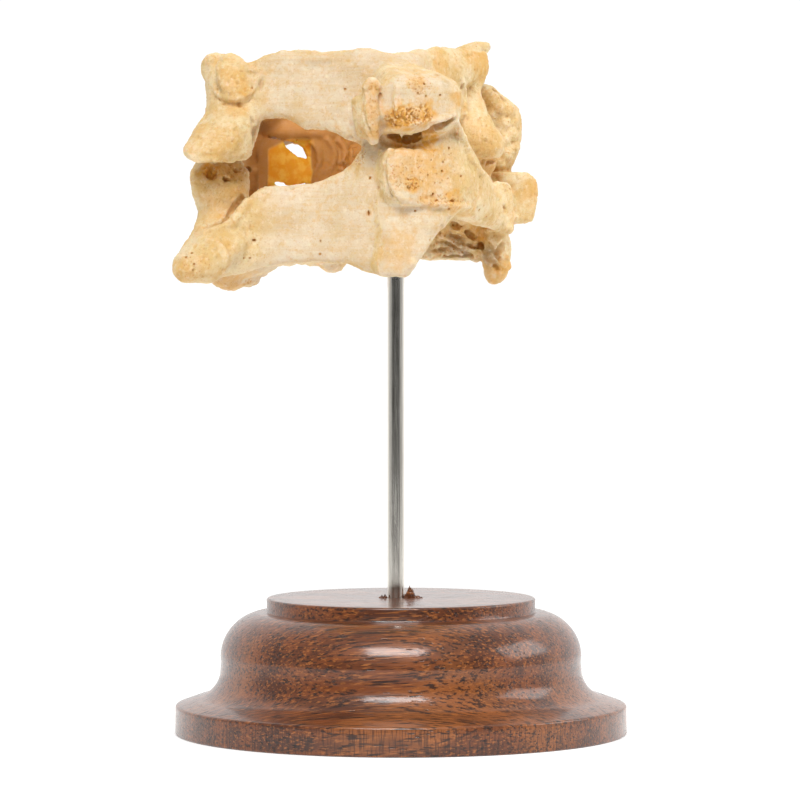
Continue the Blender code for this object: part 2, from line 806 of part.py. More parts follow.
def inset(outline, by):
    """A right-angled outline drawn in by a distance on every side."""
    area = sum(a[0] * b[1] - b[0] * a[1] for a, b in zip(outline, outline[1:] + outline[:1]))
    turn = 1 if area > 0 else -1
    made = []
    for i, point in enumerate(outline):
        before, after = outline[i - 1], outline[(i + 1) % len(outline)]
        moved = list(point)
        for a, b in ((before, point), (point, after)):
            dx, dy = b[0] - a[0], b[1] - a[1]
            size = math.hypot(dx, dy)
            moved[0] += -dy / size * by * turn
            moved[1] += dx / size * by * turn
        made.append(moved)
    return made


def prism(name, outline, collection):
    """A tall block over an outline in plan."""
    shape = bmesh.new()
    add_loft(shape, [[(x, y, z) for x, y in outline] for z in (-FAR / 2, FAR / 2)])
    return object_from(name, shape, collection)


def parted(bone, prefix, outer_right, model, tools):
    """The named pieces of a bone, each cut from a copy of it."""
    pieces = []
    for name, outline in outlines(outer_right).items():
        piece = bone.copy()
        piece.data = bone.data.copy()
        piece.name = prefix + name
        model.objects.link(piece)
        block = prism("block_" + piece.name, inset(outline, CUT), tools)
        boolean(piece, block, "INTERSECT")
        keep_largest(piece)
        pieces.append(piece)
    return pieces


def coloured(thing, colour, roughness, metallic=0.0):
    """Gives an object its own material."""
    material = bpy.data.materials.new(thing.name)
    material.use_nodes = True
    shader = material.node_tree.nodes["Principled BSDF"]
    shader.inputs["Base Color"].default_value = (*colour, 1)
    shader.inputs["Roughness"].default_value = roughness
    shader.inputs["Metallic"].default_value = metallic
    material.diffuse_color = (*colour, 1)
    thing.data.materials.clear()
    thing.data.materials.append(material)


def arc(centre, radius, start, end, steps):
    """Points along an arc, with its angles in degrees from +X."""
    points = []
    for k in range(steps + 1):
        angle = math.radians(start + (end - start) * k / steps)
        points.append((centre[0] + radius * math.cos(angle), centre[1] + radius * math.sin(angle)))
    return points


def foot_profile():
    """The outer side of the foot from the middle of its top down to the middle of its underside."""
    step_foot = FOOT_HEIGHT - STEP_HEIGHT
    rounding = 0.5
    profile = [(0, FOOT_HEIGHT)]
    profile += arc((STEP_RADIUS - rounding, FOOT_HEIGHT - rounding), rounding, 90, 0, 2)
    profile += [(STEP_RADIUS, step_foot)]
    profile += arc(SHOULDER_CENTRE, SHOULDER_ROUNDING, 80, 2, 7)
    profile += [WAIST]
    profile += arc(COVE_CENTRE, COVE_RADIUS, 180, 262, 6)
    profile += arc((FOOT_RADIUS - RIM_ROUNDING, RIM_HEIGHT - RIM_ROUNDING), RIM_ROUNDING, 80, 0, 2)
    profile += [(FOOT_RADIUS, UNDERSIDE_BEVEL), (FOOT_RADIUS - UNDERSIDE_BEVEL, 0), (0, 0)]
    return profile


def add_splinters(shape):
    """Small wedges of wood that stand up beside the rod."""
    for x, y, wide, deep, tall, lean in SPLINTERS:
        corners = [(x - wide, y), (x, y - deep), (x + wide, y), (x, y + deep)]
        low = [(u, v, FOOT_HEIGHT - 0.5) for u, v in corners]
        high = [(x + lean + (u - x) * 0.25, y + (v - y) * 0.25, FOOT_HEIGHT + tall) for u, v in corners]
        add_loft(shape, [low, high])


def add_post(shape, radius, low, high):
    """An upright cylinder on the rod's axis."""
    placed = Matrix.Translation((ROD_X, ROD_Y, (low + high) / 2))
    bmesh.ops.create_cone(
        shape,
        segments=ROD_SIDES,
        radius1=radius,
        radius2=radius,
        depth=high - low,
        cap_ends=True,
        matrix=placed,
    )


def turned_foot(model, tools):
    """The foot: its profile turned once round, splinters, and a blind hole for the rod."""
    shape = bmesh.new()
    points = [shape.verts.new((radius, 0, height)) for radius, height in foot_profile()]
    for a, b in zip(points, points[1:]):
        shape.edges.new((a, b))
    foot = object_from("stand_base", shape, model)
    turn = foot.modifiers.new("turn", "SCREW")
    turn.steps = FOOT_STEPS
    turn.render_steps = FOOT_STEPS
    turn.use_merge_vertices = True
    turn.merge_threshold = 0.0001
    applied(foot)
    shape = bmesh.new()
    add_splinters(shape)
    boolean(foot, object_from("splinters", shape, tools), "UNION")
    shape = bmesh.new()
    add_post(shape, ROD_RADIUS + ROD_CLEARANCE, FOOT_HEIGHT - ROD_SINK - GAP, FOOT_HEIGHT + 4)
    boolean(foot, object_from("foot_socket", shape, tools), "DIFFERENCE")
    keep_largest(foot)
    return foot


def rod(model):
    """The rod, from inside the foot up into the lower bone's keel."""
    shape = bmesh.new()
    add_post(shape, ROD_RADIUS, FOOT_HEIGHT - ROD_SINK, BONE_Z + ROD_TOP_IN_BONE)
    ends = [e for e in shape.edges if len({round(v.co.z, 3) for v in e.verts}) == 1]
    bmesh.ops.bevel(shape, geom=ends, offset=ROD_BEVEL, segments=1, affect="EDGES")
    return object_from("stand_rod", shape, model)


def empty(name, collection, place=(0, 0, 0), turn=0):
    """An empty that carries pieces, with its place in millimetres and its turn about Z in degrees."""
    made = bpy.data.objects.new(name, None)
    made.empty_display_size = 0.01
    made.location = [value * MM for value in place]
    made.rotation_euler = (0, 0, math.radians(turn))
    collection.objects.link(made)
    return made


def whole_bones(model, tools):
    """Both bones, each one closed skin, with the lower one cut clear of the upper."""
    bones = []
    for name, build, breaks in (
        ("upper_", upper_bone, upper_breaks),
        ("lower_", lower_bone, lower_breaks),
    ):
        shape = bmesh.new()
        build(shape)
        bone = fused_bone(name, shape, model)
        for cutter in (canal, breaks):
            shape = bmesh.new()
            cutter(shape)
            tool = object_from(name + cutter.__name__, shape, tools)
            boolean(bone, tool, "DIFFERENCE")
        keep_largest(bone)
        bones.append(bone)
    upper, lower = bones
    boolean(lower, swollen(upper, GAP, tools), "DIFFERENCE")
    keep_largest(lower)
    return bones


def bone_pieces(model, tools):
    """Every named piece of both bones, with the rod's socket drilled in the lower one's keel."""
    upper, lower = whole_bones(model, tools)
    pieces = []
    for bone, outer in ((upper, UPPER_OUTER_X), (lower, LOWER_OUTER_X)):
        thinned(bone, TRIANGLES_EACH)
        pieces += parted(bone, bone.name, outer, model, tools)
        bpy.data.objects.remove(bone)
    shape = bmesh.new()
    add_post(shape, ROD_RADIUS + ROD_CLEARANCE, 0, BONE_Z + ROD_TOP_IN_BONE + GAP)
    in_bones = Matrix.Rotation(math.radians(-YAW), 4, "Z") @ Matrix.Translation((-BONE_X, -BONE_Y, -BONE_Z))
    shape.transform(in_bones)
    socket = object_from("bone_socket", shape, tools)
    for piece in pieces:
        if piece.name == "lower_spinous":
            boolean(piece, socket, "DIFFERENCE")
            keep_largest(piece)
    return pieces


def main():
    for thing in list(bpy.data.objects):
        bpy.data.objects.remove(thing)
    scene = bpy.context.scene.collection
    model = bpy.data.collections.new("fused_cervical_vertebrae")
    tools = bpy.data.collections.new("cutters")
    scene.children.link(model)
    scene.children.link(tools)

    specimen = empty("specimen", model, (BONE_X, BONE_Y, BONE_Z), YAW)
    stand = empty("stand", model)
    for piece in bone_pieces(model, tools):
        coloured(piece, BONE_COLOUR, 0.6)
        piece.parent = specimen
    foot = turned_foot(model, tools)
    coloured(foot, WOOD_COLOUR, 0.4)
    post = rod(model)
    coloured(post, STEEL_COLOUR, 0.3, 1.0)
    for piece in (foot, post):
        piece.parent = stand
    for thing in [*model.objects, *tools.objects]:
        if thing.type == "MESH":
            thing.data.transform(Matrix.Scale(MM, 4))
    for tool in tools.objects:
        tool.hide_render = True
        tool.display_type = "WIRE"


main()
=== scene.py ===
# The look of two fused human cervical vertebrae on a steel rod in a turned wooden foot.
# Metres, +Z up, origin at the centre of the foot's underside. The bones are shaped in millimetres
# in their own frame: x to their right, y forward to the chest, z up from the joint between them.
import math
import random

import bmesh
import bpy
import numpy as np
from mathutils import Matrix, Vector, kdtree, noise
from mathutils.bvhtree import BVHTree


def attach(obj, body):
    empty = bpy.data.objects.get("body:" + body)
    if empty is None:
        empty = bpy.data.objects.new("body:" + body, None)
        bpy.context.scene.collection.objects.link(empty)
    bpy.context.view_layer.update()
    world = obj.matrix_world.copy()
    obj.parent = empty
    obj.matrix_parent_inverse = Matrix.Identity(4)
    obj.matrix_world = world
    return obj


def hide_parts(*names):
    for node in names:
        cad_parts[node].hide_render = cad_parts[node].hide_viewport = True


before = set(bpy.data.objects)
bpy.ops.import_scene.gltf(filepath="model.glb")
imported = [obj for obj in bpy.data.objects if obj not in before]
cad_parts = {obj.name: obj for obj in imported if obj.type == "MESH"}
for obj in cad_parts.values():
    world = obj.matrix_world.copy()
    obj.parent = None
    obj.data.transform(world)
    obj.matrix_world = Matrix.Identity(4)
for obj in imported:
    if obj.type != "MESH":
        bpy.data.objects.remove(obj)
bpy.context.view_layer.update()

MM = 0.001

# The camera of the photograph, which is 800 pixels square
PICTURE = 800
FOCAL_PIXELS = 4265
CAMERA_DISTANCE = 0.599
CAMERA_HEIGHT = 0.0652
CAMERA_CENTRE_PIXEL = 401
HORIZON_PIXEL = 269
SENSOR = 36

# The foot: a thick rim, a cove, a quarter-round shoulder and a low step, and the radii of the
# rings on its top and its underside
FOOT_RADIUS = 31.75
FOOT_HEIGHT = 19.0
RIM_HEIGHT = 4.1
RIM_ROUNDING = 0.45
UNDERSIDE_BEVEL = 0.3
COVE_RADIUS = 4.2
COVE_CENTRE = (29.6, 9.1)
SHOULDER_ROUNDING = 6.4
SHOULDER_CENTRE = (19.0, 10.7)
WAIST = (25.3, 10.0)
STEP_RADIUS = 18.9
STEP_HEIGHT = 1.9
STEP_ROUNDING = 0.35
TOP_RINGS = (0, 3, 6, 9, 12, 15)
UNDERSIDE_RINGS = (28, 24, 18, 12, 6, 0)
FOOT_SIDES = 256

# The rod
ROD_RADIUS = 1.19
ROD_X = -0.72
ROD_Y = 0.0
ROD_SINK = 11.0
ROD_SIDES = 96
ROD_RINGS = 12
ROD_ROUNDING = 0.2
ROD_GAP_BELOW = 0.2
ROD_CLEARANCE = 0.12
ROD_TOP_IN_BONE = -9.5

# How the bones stand on the rod
YAW = 26.0
BONE_X = -8.0
BONE_Y = 14.9
BONE_Z = 80.0

# Sizes that both bones share, each body's floor and top, and the canal for the spinal cord
BODY_Y = 14.6
BODY_HALF_WIDTH = 9.2
BODY_HALF_DEPTH = 7.4
ARTERY_X = 14.8
ARTERY_Y = 9.8
ARTERY_RADIUS = 2.6
RIM_KNOBS = 9
UPPER_BODY = (4.1, 13.2)
LOWER_BODY = (-13.9, -3.2)
CANAL_Y = -0.8
CANAL_HALF_WIDTH = 11.4
CANAL_HALF_DEPTH = 7.5
FAR = 60.0

# How fine each skin is, how it is smoothed and lumped, and the gap left at the open joint
VOXEL = 0.3
FINE_VOXEL = 0.2
SMOOTHING = 7
LUMP_HEIGHT = 0.28
LUMP_LENGTH = 3.2
HOLLOW_VOXEL = 0.12
SPLINTER_VOXEL = 0.06
JOINT_GAP = 0.5

# The space round the left joint, the one that never fused: its centre and its size
OPEN_JOINT = ((-23, -2, 0), (20, 24, 12))


def colour(red, green, blue):
    """A linear colour from the usual values of 0 to 255."""
    linear = []
    for part in (red, green, blue):
        part /= 255
        linear.append(part / 12.92 if part <= 0.04045 else ((part + 0.055) / 1.055) ** 2.4)
    return (*linear, 1)


# Colours of the bone, the wood, the rod and the floor
LAMINA_CREAM = colour(217, 194, 158)
LAMINA_PALE = colour(226, 209, 182)
BONE_YELLOW = colour(223, 189, 128)
BONE_PALE = colour(235, 213, 170)
HONEY = colour(216, 170, 94)
# Ochre is the colour of stains and worn bone, and also of some painted shade
OCHRE = colour(222, 162, 62)
GREY_BROWN = colour(150, 128, 102)
WHITE_EDGE = colour(247, 234, 210)
# Honey brown is painted shade in the hollows and the window, and also the random dust
HONEY_BROWN = colour(180, 116, 40)
PIT_BROWN = colour(204, 142, 62)
# Painted glow: the thin plate's orange and yellow stand in for light shining through it, over its real
# subsurface light
PLATE_GLOW_ORANGE = colour(236, 166, 36)
PLATE_GLOW_YELLOW = colour(246, 196, 74)
WOOD_LIGHT = colour(116, 61, 27)
WOOD_MID = colour(80, 40, 19)
WOOD_GOLD = colour(156, 92, 42)
WOOD_DARK = colour(38, 18, 9)
WOOD_PORE = colour(14, 7, 4)
STEEL_DARK = colour(222, 216, 206)
STEEL_LIGHT = colour(245, 241, 232)
FLOOR_A = colour(240, 240, 239)
FLOOR_B = colour(243, 243, 242)

# The cells of the materials in mm, and in metres how deep their grain is and how far light goes
# into the thin plate
BONE_CELL = 0.42
WOOD_VESSEL = 0.46
BONE_GRAIN_DEPTH = 0.00024
WOOD_GRAIN_DEPTH = 0.0002
VARNISH_DEPTH = 0.00005
STEEL_LINE_DEPTH = 0.00003
GLOW_DEPTH = 0.001

# The floor, in metres
FLOOR_RADIUS = 0.24
FLOOR_DROP = 0.00002

# Corners sharper than this many degrees stay sharp on the foot and the rod
SHARP_ANGLE = 35

# The light: the world at the sides, behind the bones and low behind the camera, the floor, what
# the softboxes face, and each one's place, size and power
WORLD_SIDES = (0.46, 0.46, 0.46, 1)
WORLD_BEHIND = (1.1, 1.1, 1.1, 1)
WORLD_DARK = (0.06, 0.06, 0.06, 1)
FLOOR_GLOW = 0.3
LIT_SPOT = (0, 0, 0.06)
SOFTBOXES = (
    ("key", (-0.05, -0.62, 0.68), (0.5, 0.3), 6.8), ("fill", (0.58, 0.02, 0.32), (0.4, 0.28), 1.4),
)

# Wood torn up beside the rod: x, y, half width, height, lean and how many fibres
SPLINTERS = (
    (1.2, -0.4, 0.75, 2.1, 0.1, 16), (-2.5, -0.5, 0.5, 0.8, 0.4, 9), (2.4, -0.7, 0.6, 0.5, -0.3, 8),
)

# Ridges laid over the skin: how far they stand out, then x, y in the photograph and radius in mm
RIDGES = (
    (0.15, ((384, 130, 0.3), (400, 127, 0.28), (415, 124, 0.28), (430, 120.5, 0.3), (440, 119, 0.4))),
    (0.1, ((438, 120, 0.45), (447, 117, 0.5), (455, 113, 0.4))),
    (0.0, ((400, 202, 0.5), (425, 203, 0.5), (448, 205, 0.5), (470, 206, 0.4))),
    (0.15, ((326, 137, 0.4), (333, 149, 0.5), (333, 162, 0.45), (326, 174, 0.35))),
    (0.15, ((337, 138, 0.35), (345, 150, 0.5), (343, 164, 0.4))),
    (0.1, ((312, 139, 0.5), (319, 152, 0.5), (317, 166, 0.45), (309, 182, 0.4))),
    (0.1, ((428, 239, 0.3), (440, 236, 0.4), (450, 239, 0.4), (460, 246, 0.45), (474, 250, 0.4),
           (482, 256, 0.3))),
    (0.1, ((450, 228, 0.3), (464, 233, 0.35), (476, 242, 0.35), (484, 255, 0.35), (492, 266, 0.3))),
    (0.1, ((452, 217, 0.45), (466, 219, 0.4), (476, 225, 0.4), (486, 230, 0.4), (500, 229, 0.35),
           (512, 233, 0.3))),
    (0.0, ((213, 84, 0.3), (217, 93, 0.4), (228, 98, 0.4), (242, 97, 0.45), (253, 89, 0.45),
           (257, 78, 0.35))),
    (-0.1, ((254, 187, 0.6), (250, 199, 0.75), (240, 213, 0.85), (227, 226, 0.85), (214, 230, 0.7),
            (203, 232, 0.5))),
    (0.0, ((529, 177, 0.4), (535, 184, 0.4), (535, 204, 0.4), (531, 217, 0.4))),
    (0.0, ((462, 80, 0.4), (464, 92, 0.45), (465, 106, 0.45), (464, 116, 0.4))),
    (0.0, ((456, 120, 0.4), (464, 140, 0.55), (470, 158, 0.6), (482, 176, 0.6), (496, 184, 0.5),
           (507, 185, 0.4))),
    (0.0, ((186, 150, 0.4), (196, 159, 0.5), (214, 159, 0.5), (234, 160, 0.5), (250, 158, 0.5))),
    (0.0, ((205, 240, 0.4), (219, 244, 0.4), (226, 258, 0.4), (222, 274, 0.4))),
    (0.0, ((364, 90, 0.6), (371, 83, 0.9), (379, 88, 0.6))),
    (-0.7, ((246, 68, 1.0), (256, 63, 1.0), (268, 59, 1.0), (282, 57.5, 1.0), (300, 58, 1.0),
            (345, 57, 0.9))),
    (0.0, ((484, 238, 0.3), (490, 250, 0.35), (497, 262, 0.35), (500, 274, 0.3), (496, 284, 0.25))),
    (0.0, ((500, 240, 0.3), (505, 250, 0.3), (508, 262, 0.35), (504, 274, 0.3))),
    (0.0, ((389, 158, 0.4), (390, 170, 0.45), (392, 184, 0.5), (398, 196, 0.5), (410, 202, 0.4))),
)

# Grooves sunk in the skin: x, y in the photograph and radius in mm
CREASES = (
    ((216, 98, 0.25), (224, 103, 0.35), (234, 105, 0.4), (245, 104, 0.4), (254, 97, 0.25)),
    ((262, 75, 0.15), (261, 84, 0.4), (259, 93, 0.2)),
    ((251, 187, 0.5), (245, 197, 0.8), (236, 211, 1.0), (227, 221, 0.9), (214, 226, 0.5),
     (202, 228, 0.3)),
    ((252, 120, 0.3), (254, 135, 0.4), (253, 150, 0.5), (248, 160, 0.3)),
    ((251, 116, 0.3), (255, 128, 0.6), (256, 143, 0.7), (253, 160, 0.5)),
    ((381, 88, 0.2), (380, 98, 0.35), (379, 110, 0.2)),
    ((363, 92, 0.2), (363, 110, 0.3), (367, 128, 0.3), (373, 140, 0.2)),
    ((463, 80, 0.2), (461, 90, 0.45), (460, 103, 0.45), (461, 115, 0.2)),
    ((461, 58, 0.15), (471, 55, 0.3), (481, 52, 0.15)),
    ((436, 66, 0.15), (450, 60, 0.2), (462, 50, 0.15)),
    ((420, 198, 0.15), (430, 200, 0.2), (445, 201, 0.25), (458, 201, 0.2), (466, 203, 0.12)),
    ((386, 160, 0.3), (385, 175, 0.3), (389, 192, 0.3), (400, 204, 0.2)),
    ((432, 243, 0.25), (442, 241, 0.3), (452, 245, 0.35), (462, 251, 0.35), (474, 256, 0.25)),
    ((448, 233, 0.25), (460, 238, 0.35), (470, 245, 0.35), (480, 252, 0.25)),
    ((488, 240, 0.2), (494, 252, 0.3), (501, 264, 0.3), (503, 278, 0.2)),
    ((475, 216, 0.15), (486, 219, 0.25), (497, 218, 0.15)),
    ((472, 196, 0.12), (484, 200, 0.15), (497, 203, 0.12)),
    ((527, 176, 0.12), (526, 190, 0.2), (526, 205, 0.15), (524, 219, 0.12)),
    ((488, 98, 0.12), (495, 104, 0.16), (501, 112, 0.12)),
    ((478, 160, 0.3), (486, 163, 0.4), (496, 160, 0.3)),
)

# Broken edges that small chips are missing from: x, y in the photograph along each edge
CHIPPED = (
    ((262, 119), (283, 118), (297, 124), (306, 129), (325, 131), (342, 134), (358, 140), (370, 145)),
    ((256, 189), (270, 187), (290, 187), (310, 183), (330, 175), (350, 164), (368, 153)),
    ((417, 263), (425, 255), (440, 232), (449, 218)), ((450, 217), (475, 222), (482, 229), (505, 231)),
    ((506, 187), (506, 200), (505, 215), (503, 229)), ((254, 188), (246, 201), (236, 215), (226, 226)),
    ((187, 163), (205, 164), (230, 164), (249, 160)), ((384, 131), (400, 128), (415, 125), (430, 122)),
    ((531, 180), (535, 190), (533, 204), (530, 217)), ((210, 289), (230, 292), (250, 289), (263, 280)),
    ((422, 258), (440, 258), (460, 257), (480, 258)),
)
CHIP_STEP = 2.2

# Knobs on each rim of the bodies' fronts, and new bone in the corners of the window between them
FRONT_KNOBS = 12
WINDOW_CORNERS = (
    (5.4, 18.6, 4.0, 1.3), (4.6, 18.8, -3.2, 1.3), (-8.6, 17.0, 4.4, 1.4), (-8.8, 16.8, -3.0, 1.6),
    (-5.8, 19.4, -3.7, 1.2), (-3.4, 20.4, 4.9, 1.2),
)

# The most that neighbouring points of a ridge or groove may be apart, in mm for each pixel
LARGEST_JUMP = 0.45

# Bars of broken, spongy bone across the mouth of the hollow: two pixels and a radius in mm
BARS = (
    (391, 136, 399, 143, 0.13), (398, 131, 404, 144, 0.11), (404, 130, 401, 141, 0.1),
    (410, 129, 412, 144, 0.12), (416, 128, 409, 140, 0.1), (420, 127, 424, 139, 0.12),
    (393, 140, 408, 138, 0.1), (408, 134, 426, 131, 0.1), (426, 127, 418, 138, 0.1),
)

# The thin shell left below the hollow: how far it stands out, then x, y in the photograph and
# radius in mm
SHELL_LIFT = 0.1
SHELL = (
    (388, 138, 0.2), (396, 143, 0.2), (405, 145.5, 0.18), (414, 144, 0.18), (422, 140, 0.16),
    (430, 136, 0.16),
)

# Lumps of new bone: x, y in the photograph and radius in mm
NODULES = (
    (484, 90, 0.9), (493, 99, 1.2), (500, 108, 1.1), (509, 110, 1.3), (515, 121, 1.1), (506, 123, 1.0),
    (513, 134, 1.2), (505, 140, 1.0), (516, 147, 1.1), (508, 154, 1.2), (500, 163, 1.0),
    (492, 114, 0.8), (379, 143, 0.6), (384, 147, 0.6), (390, 150, 0.55), (397, 151, 0.5),
    (374, 147, 0.5), (381, 152, 0.5), (282, 53.5, 0.8), (250, 68, 1.1), (243, 66, 1.1),
    (210, 58.5, 1.05), (217, 56, 0.8), (509, 229, 1.1), (514, 220, 1.0), (508, 266, 0.9),
    (430, 256, 1.2), (438, 257, 0.8), (476, 258, 1.0), (412, 264, 1.0), (248, 160, 1.1),
    (254, 166, 1.0), (240, 164, 0.9), (245, 172, 1.0),
)

# Hollows: x, y in the photograph, then width, height, depth in mm and tilt in degrees
HOLLOWS = (
    (397, 137, 3.0, 1.6, 2.6, 0), (410, 136, 3.4, 2.2, 3.2, 0), (424, 133, 3.2, 2.1, 3.0, 15),
    (437, 128, 3.2, 1.6, 2.4, 25), (449, 122, 2.6, 0.9, 1.6, 30), (211, 173, 2.0, 2.2, 1.0, 10),
    (226, 179, 1.3, 1.0, 0.8, 0), (247, 170, 1.6, 1.1, 1.1, 35), (236, 170, 1.2, 0.7, 0.7, 0),
    (257.5, 142, 2.2, 6.4, 2.4, 0), (455, 257.3, 5.0, 1.0, 2.2, 0), (446, 257.5, 2.2, 0.6, 1.4, 0),
    (467, 257.5, 2.4, 0.8, 1.6, 10), (503, 97, 1.6, 1.6, 1.6, 0), (497, 90.5, 1.6, 1.2, 1.6, 0),
    (512, 250, 0.9, 1.8, 0.8, 0), (455, 226, 2.0, 1.2, 1.0, -20), (470, 235, 2.6, 1.0, 1.2, -35),
    (482, 246, 1.6, 1.0, 1.0, -50), (500, 250, 1.2, 3.0, 0.9, -25), (496, 268, 1.0, 1.6, 0.7, 30),
    (440, 250, 3.0, 0.7, 0.7, 10),
)

# Holes in the bone: x, y in the photograph, then width, height, depth in mm and tilt in degrees
PITS = (
    (254, 240, 0.55, 0.35, 0.5, 10), (244, 258, 0.4, 0.2, 0.3, 0), (250, 258, 0.45, 0.22, 0.3, 0),
    (320.5, 241, 0.2, 0.2, 0.4, 0), (368.6, 213, 0.28, 0.85, 0.7, 5), (370, 178, 0.3, 0.5, 0.3, -20),
    (320, 254, 0.5, 0.22, 0.2, 0), (192, 253, 0.4, 0.3, 0.3, 0), (194, 264, 0.3, 0.35, 0.3, 0),
    (193, 270, 0.25, 0.3, 0.3, 0), (186, 257, 0.5, 0.25, 0.3, 10), (437, 75, 0.3, 0.3, 0.7, 0),
    (424, 84, 0.3, 0.3, 0.4, 0), (418, 93, 0.25, 0.25, 0.4, 0), (426, 96, 0.25, 0.4, 0.4, 0),
    (440, 95, 0.35, 0.25, 0.4, 20), (443, 162, 0.25, 0.25, 0.4, 0), (449, 148, 0.3, 0.45, 0.4, -30),
    (442, 171, 0.35, 0.35, 0.4, 0), (428, 175, 0.3, 0.25, 0.3, 0), (433, 194, 0.4, 0.35, 0.5, 0),
    (452, 201, 1.1, 0.35, 0.35, -4), (437, 200, 0.6, 0.3, 0.3, 5), (449, 209, 0.5, 0.25, 0.4, 0),
    (486, 217, 0.3, 0.35, 0.4, 30), (479, 210, 0.5, 0.3, 0.3, 30), (461, 176, 0.5, 0.25, 0.3, 30),
    (453, 225, 0.35, 0.4, 0.5, 0), (461, 226, 0.6, 0.35, 0.6, 0), (510, 189, 0.35, 0.2, 0.2, 0),
    (415, 211, 0.35, 0.25, 0.3, 0), (297, 140, 0.3, 0.3, 0.3, 0), (345, 89, 0.5, 0.2, 0.2, 0),
    (252, 88, 0.2, 0.3, 0.3, 0),
)

# Spongy bone laid open: x, y and half sizes in the photograph, how many pores, and their radii
SPONGY = (
    (408, 117, 24, 9, 240, 0.06, 0.16), (420, 84, 12, 12, 50, 0.05, 0.11),
    (412, 184, 8, 5, 80, 0.07, 0.16), (398, 176, 12, 12, 40, 0.05, 0.1),
    (355, 156, 12, 12, 80, 0.06, 0.14), (432, 165, 30, 20, 40, 0.05, 0.11),
    (500, 115, 18, 30, 20, 0.05, 0.1), (195, 262, 16, 18, 30, 0.05, 0.1),
    (455, 245, 30, 12, 50, 0.06, 0.15), (228, 174, 24, 8, 45, 0.06, 0.14),
    (440, 200, 26, 6, 60, 0.06, 0.13), (373, 108, 6, 26, 36, 0.05, 0.1),
    (236, 285, 26, 6, 50, 0.05, 0.11),
)

# Bone worn down to its coarse inside: x, y in the photograph, radius in mm and how strongly
ROUGH = (
    (392, 119, 1.6, 1.0), (402, 117, 2.0, 1.0), (413, 115, 2.0, 1.0), (425, 113, 1.8, 0.9),
    (418, 85, 1.8, 0.4), (373, 90, 1.2, 0.35), (371, 104, 1.2, 0.35), (373, 118, 1.2, 0.35),
    (378, 130, 1.2, 0.5), (395, 180, 1.4, 0.4), (412, 184, 1.4, 0.8), (430, 200, 1.2, 0.5),
    (446, 202, 1.2, 0.5), (460, 203, 1.0, 0.3), (346, 164, 1.8, 0.9), (354, 155, 2.0, 1.0),
    (361, 149, 1.4, 0.8), (324, 168, 2.0, 0.5), (210, 173, 1.6, 0.8), (228, 175, 1.6, 0.4),
    (246, 170, 1.4, 0.5), (508, 148, 2.0, 0.1), (488, 160, 1.6, 0.5), (440, 247, 1.8, 0.25),
    (458, 240, 1.8, 0.3), (474, 250, 1.8, 0.3), (496, 262, 2.2, 0.25), (232, 285, 2.4, 0.2),
    (190, 268, 1.8, 0.4), (534, 196, 1.6, 0.4), (205, 142, 2.6, 0.25), (232, 142, 2.6, 0.25),
    (236, 80, 2.6, 0.25),
)

# Stains of each kind: x, y in the photograph, radius in mm and strength. Some of the ochre spots
# are painted shade, not stain: under the facet's ledge at 236, 108 and in the hollow under the
# spongy ledge at 400 to 425, 140 to 150.
OCHRE_STAINS_AND_SHADE = (
    (400, 118, 3.2, 1.0), (425, 112, 2.6, 0.9), (418, 84, 2.2, 0.5), (412, 184, 2.0, 0.9),
    (395, 176, 2.4, 0.4), (289, 165, 4.0, 1.0), (355, 158, 2.8, 0.8), (209, 173, 2.6, 1.0),
    (228, 168, 2.6, 0.5), (205, 195, 2.6, 0.5), (235, 80, 3.4, 0.45), (246, 92, 1.6, 0.7),
    (236, 108, 2.2, 0.5), (374, 88, 1.6, 0.7), (371, 110, 2.4, 0.6), (378, 130, 2.0, 0.7),
    (425, 140, 3.2, 1.0), (400, 140, 2.6, 1.0), (405, 150, 2.2, 0.6), (215, 140, 4.0, 0.4),
    (222, 205, 4.5, 0.45), (480, 60, 4.0, 0.7), (425, 168, 5.5, 0.65), (400, 165, 2.4, 0.5),
    (450, 180, 3.4, 0.3), (440, 60, 3.0, 0.5), (488, 140, 3.4, 0.3), (190, 145, 2.2, 0.4),
    (182, 270, 3.0, 0.4), (230, 285, 5.0, 0.5), (468, 56, 2.2, 0.5), (459, 98, 1.8, 0.6),
    (490, 165, 3.0, 0.6), (500, 105, 4.0, 0.15), (452, 200, 2.6, 0.8), (430, 200, 2.2, 0.6),
    (532, 195, 2.4, 0.5), (500, 272, 4.0, 0.7), (400, 250, 4.0, 0.35), (478, 232, 2.6, 0.8),
    (240, 172, 2.4, 0.5),
)
GREY_STAINS = (
    (384, 147, 1.3, 0.35), (445, 83, 1.0, 0.2), (455, 245, 3.0, 0.6), (490, 258, 2.2, 0.6),
)
# Spots of painted shade on the shaded inner wall of the left pillar, beside the left lobe
PAINTED_SHADE_SPOTS = (
    (258, 142, 2.6, 0.7),
)


def catmull(a, b, c, d, t):
    """The point at t between b and c of the smooth curve through all four."""
    bend, twist = 2 * a - 5 * b + 4 * c - d, 3 * b - a - 3 * c + d
    return 0.5 * (2 * b + (c - a) * t + bend * t * t + twist * t**3)


def smooth_stations(stations, between):
    """The stations with more of them worked out between each pair."""
    rows = np.array(stations, float)
    padded = np.vstack([2 * rows[0] - rows[1], rows, 2 * rows[-1] - rows[-2]])
    made = []
    for i in range(len(rows) - 1):
        made += [catmull(*padded[i:i + 4], k / between) for k in range(between)]
    return made + [rows[-1]]


def oval(sides, squareness):
    """Points round a unit oval; squareness 2 is an ellipse, and more is squarer."""
    points = []
    for k in range(sides):
        angle = 2 * math.pi * k / sides
        c, s = math.cos(angle), math.sin(angle)
        power = 2 / squareness
        points.append((math.copysign(abs(c) ** power, c), math.copysign(abs(s) ** power, s)))
    return points


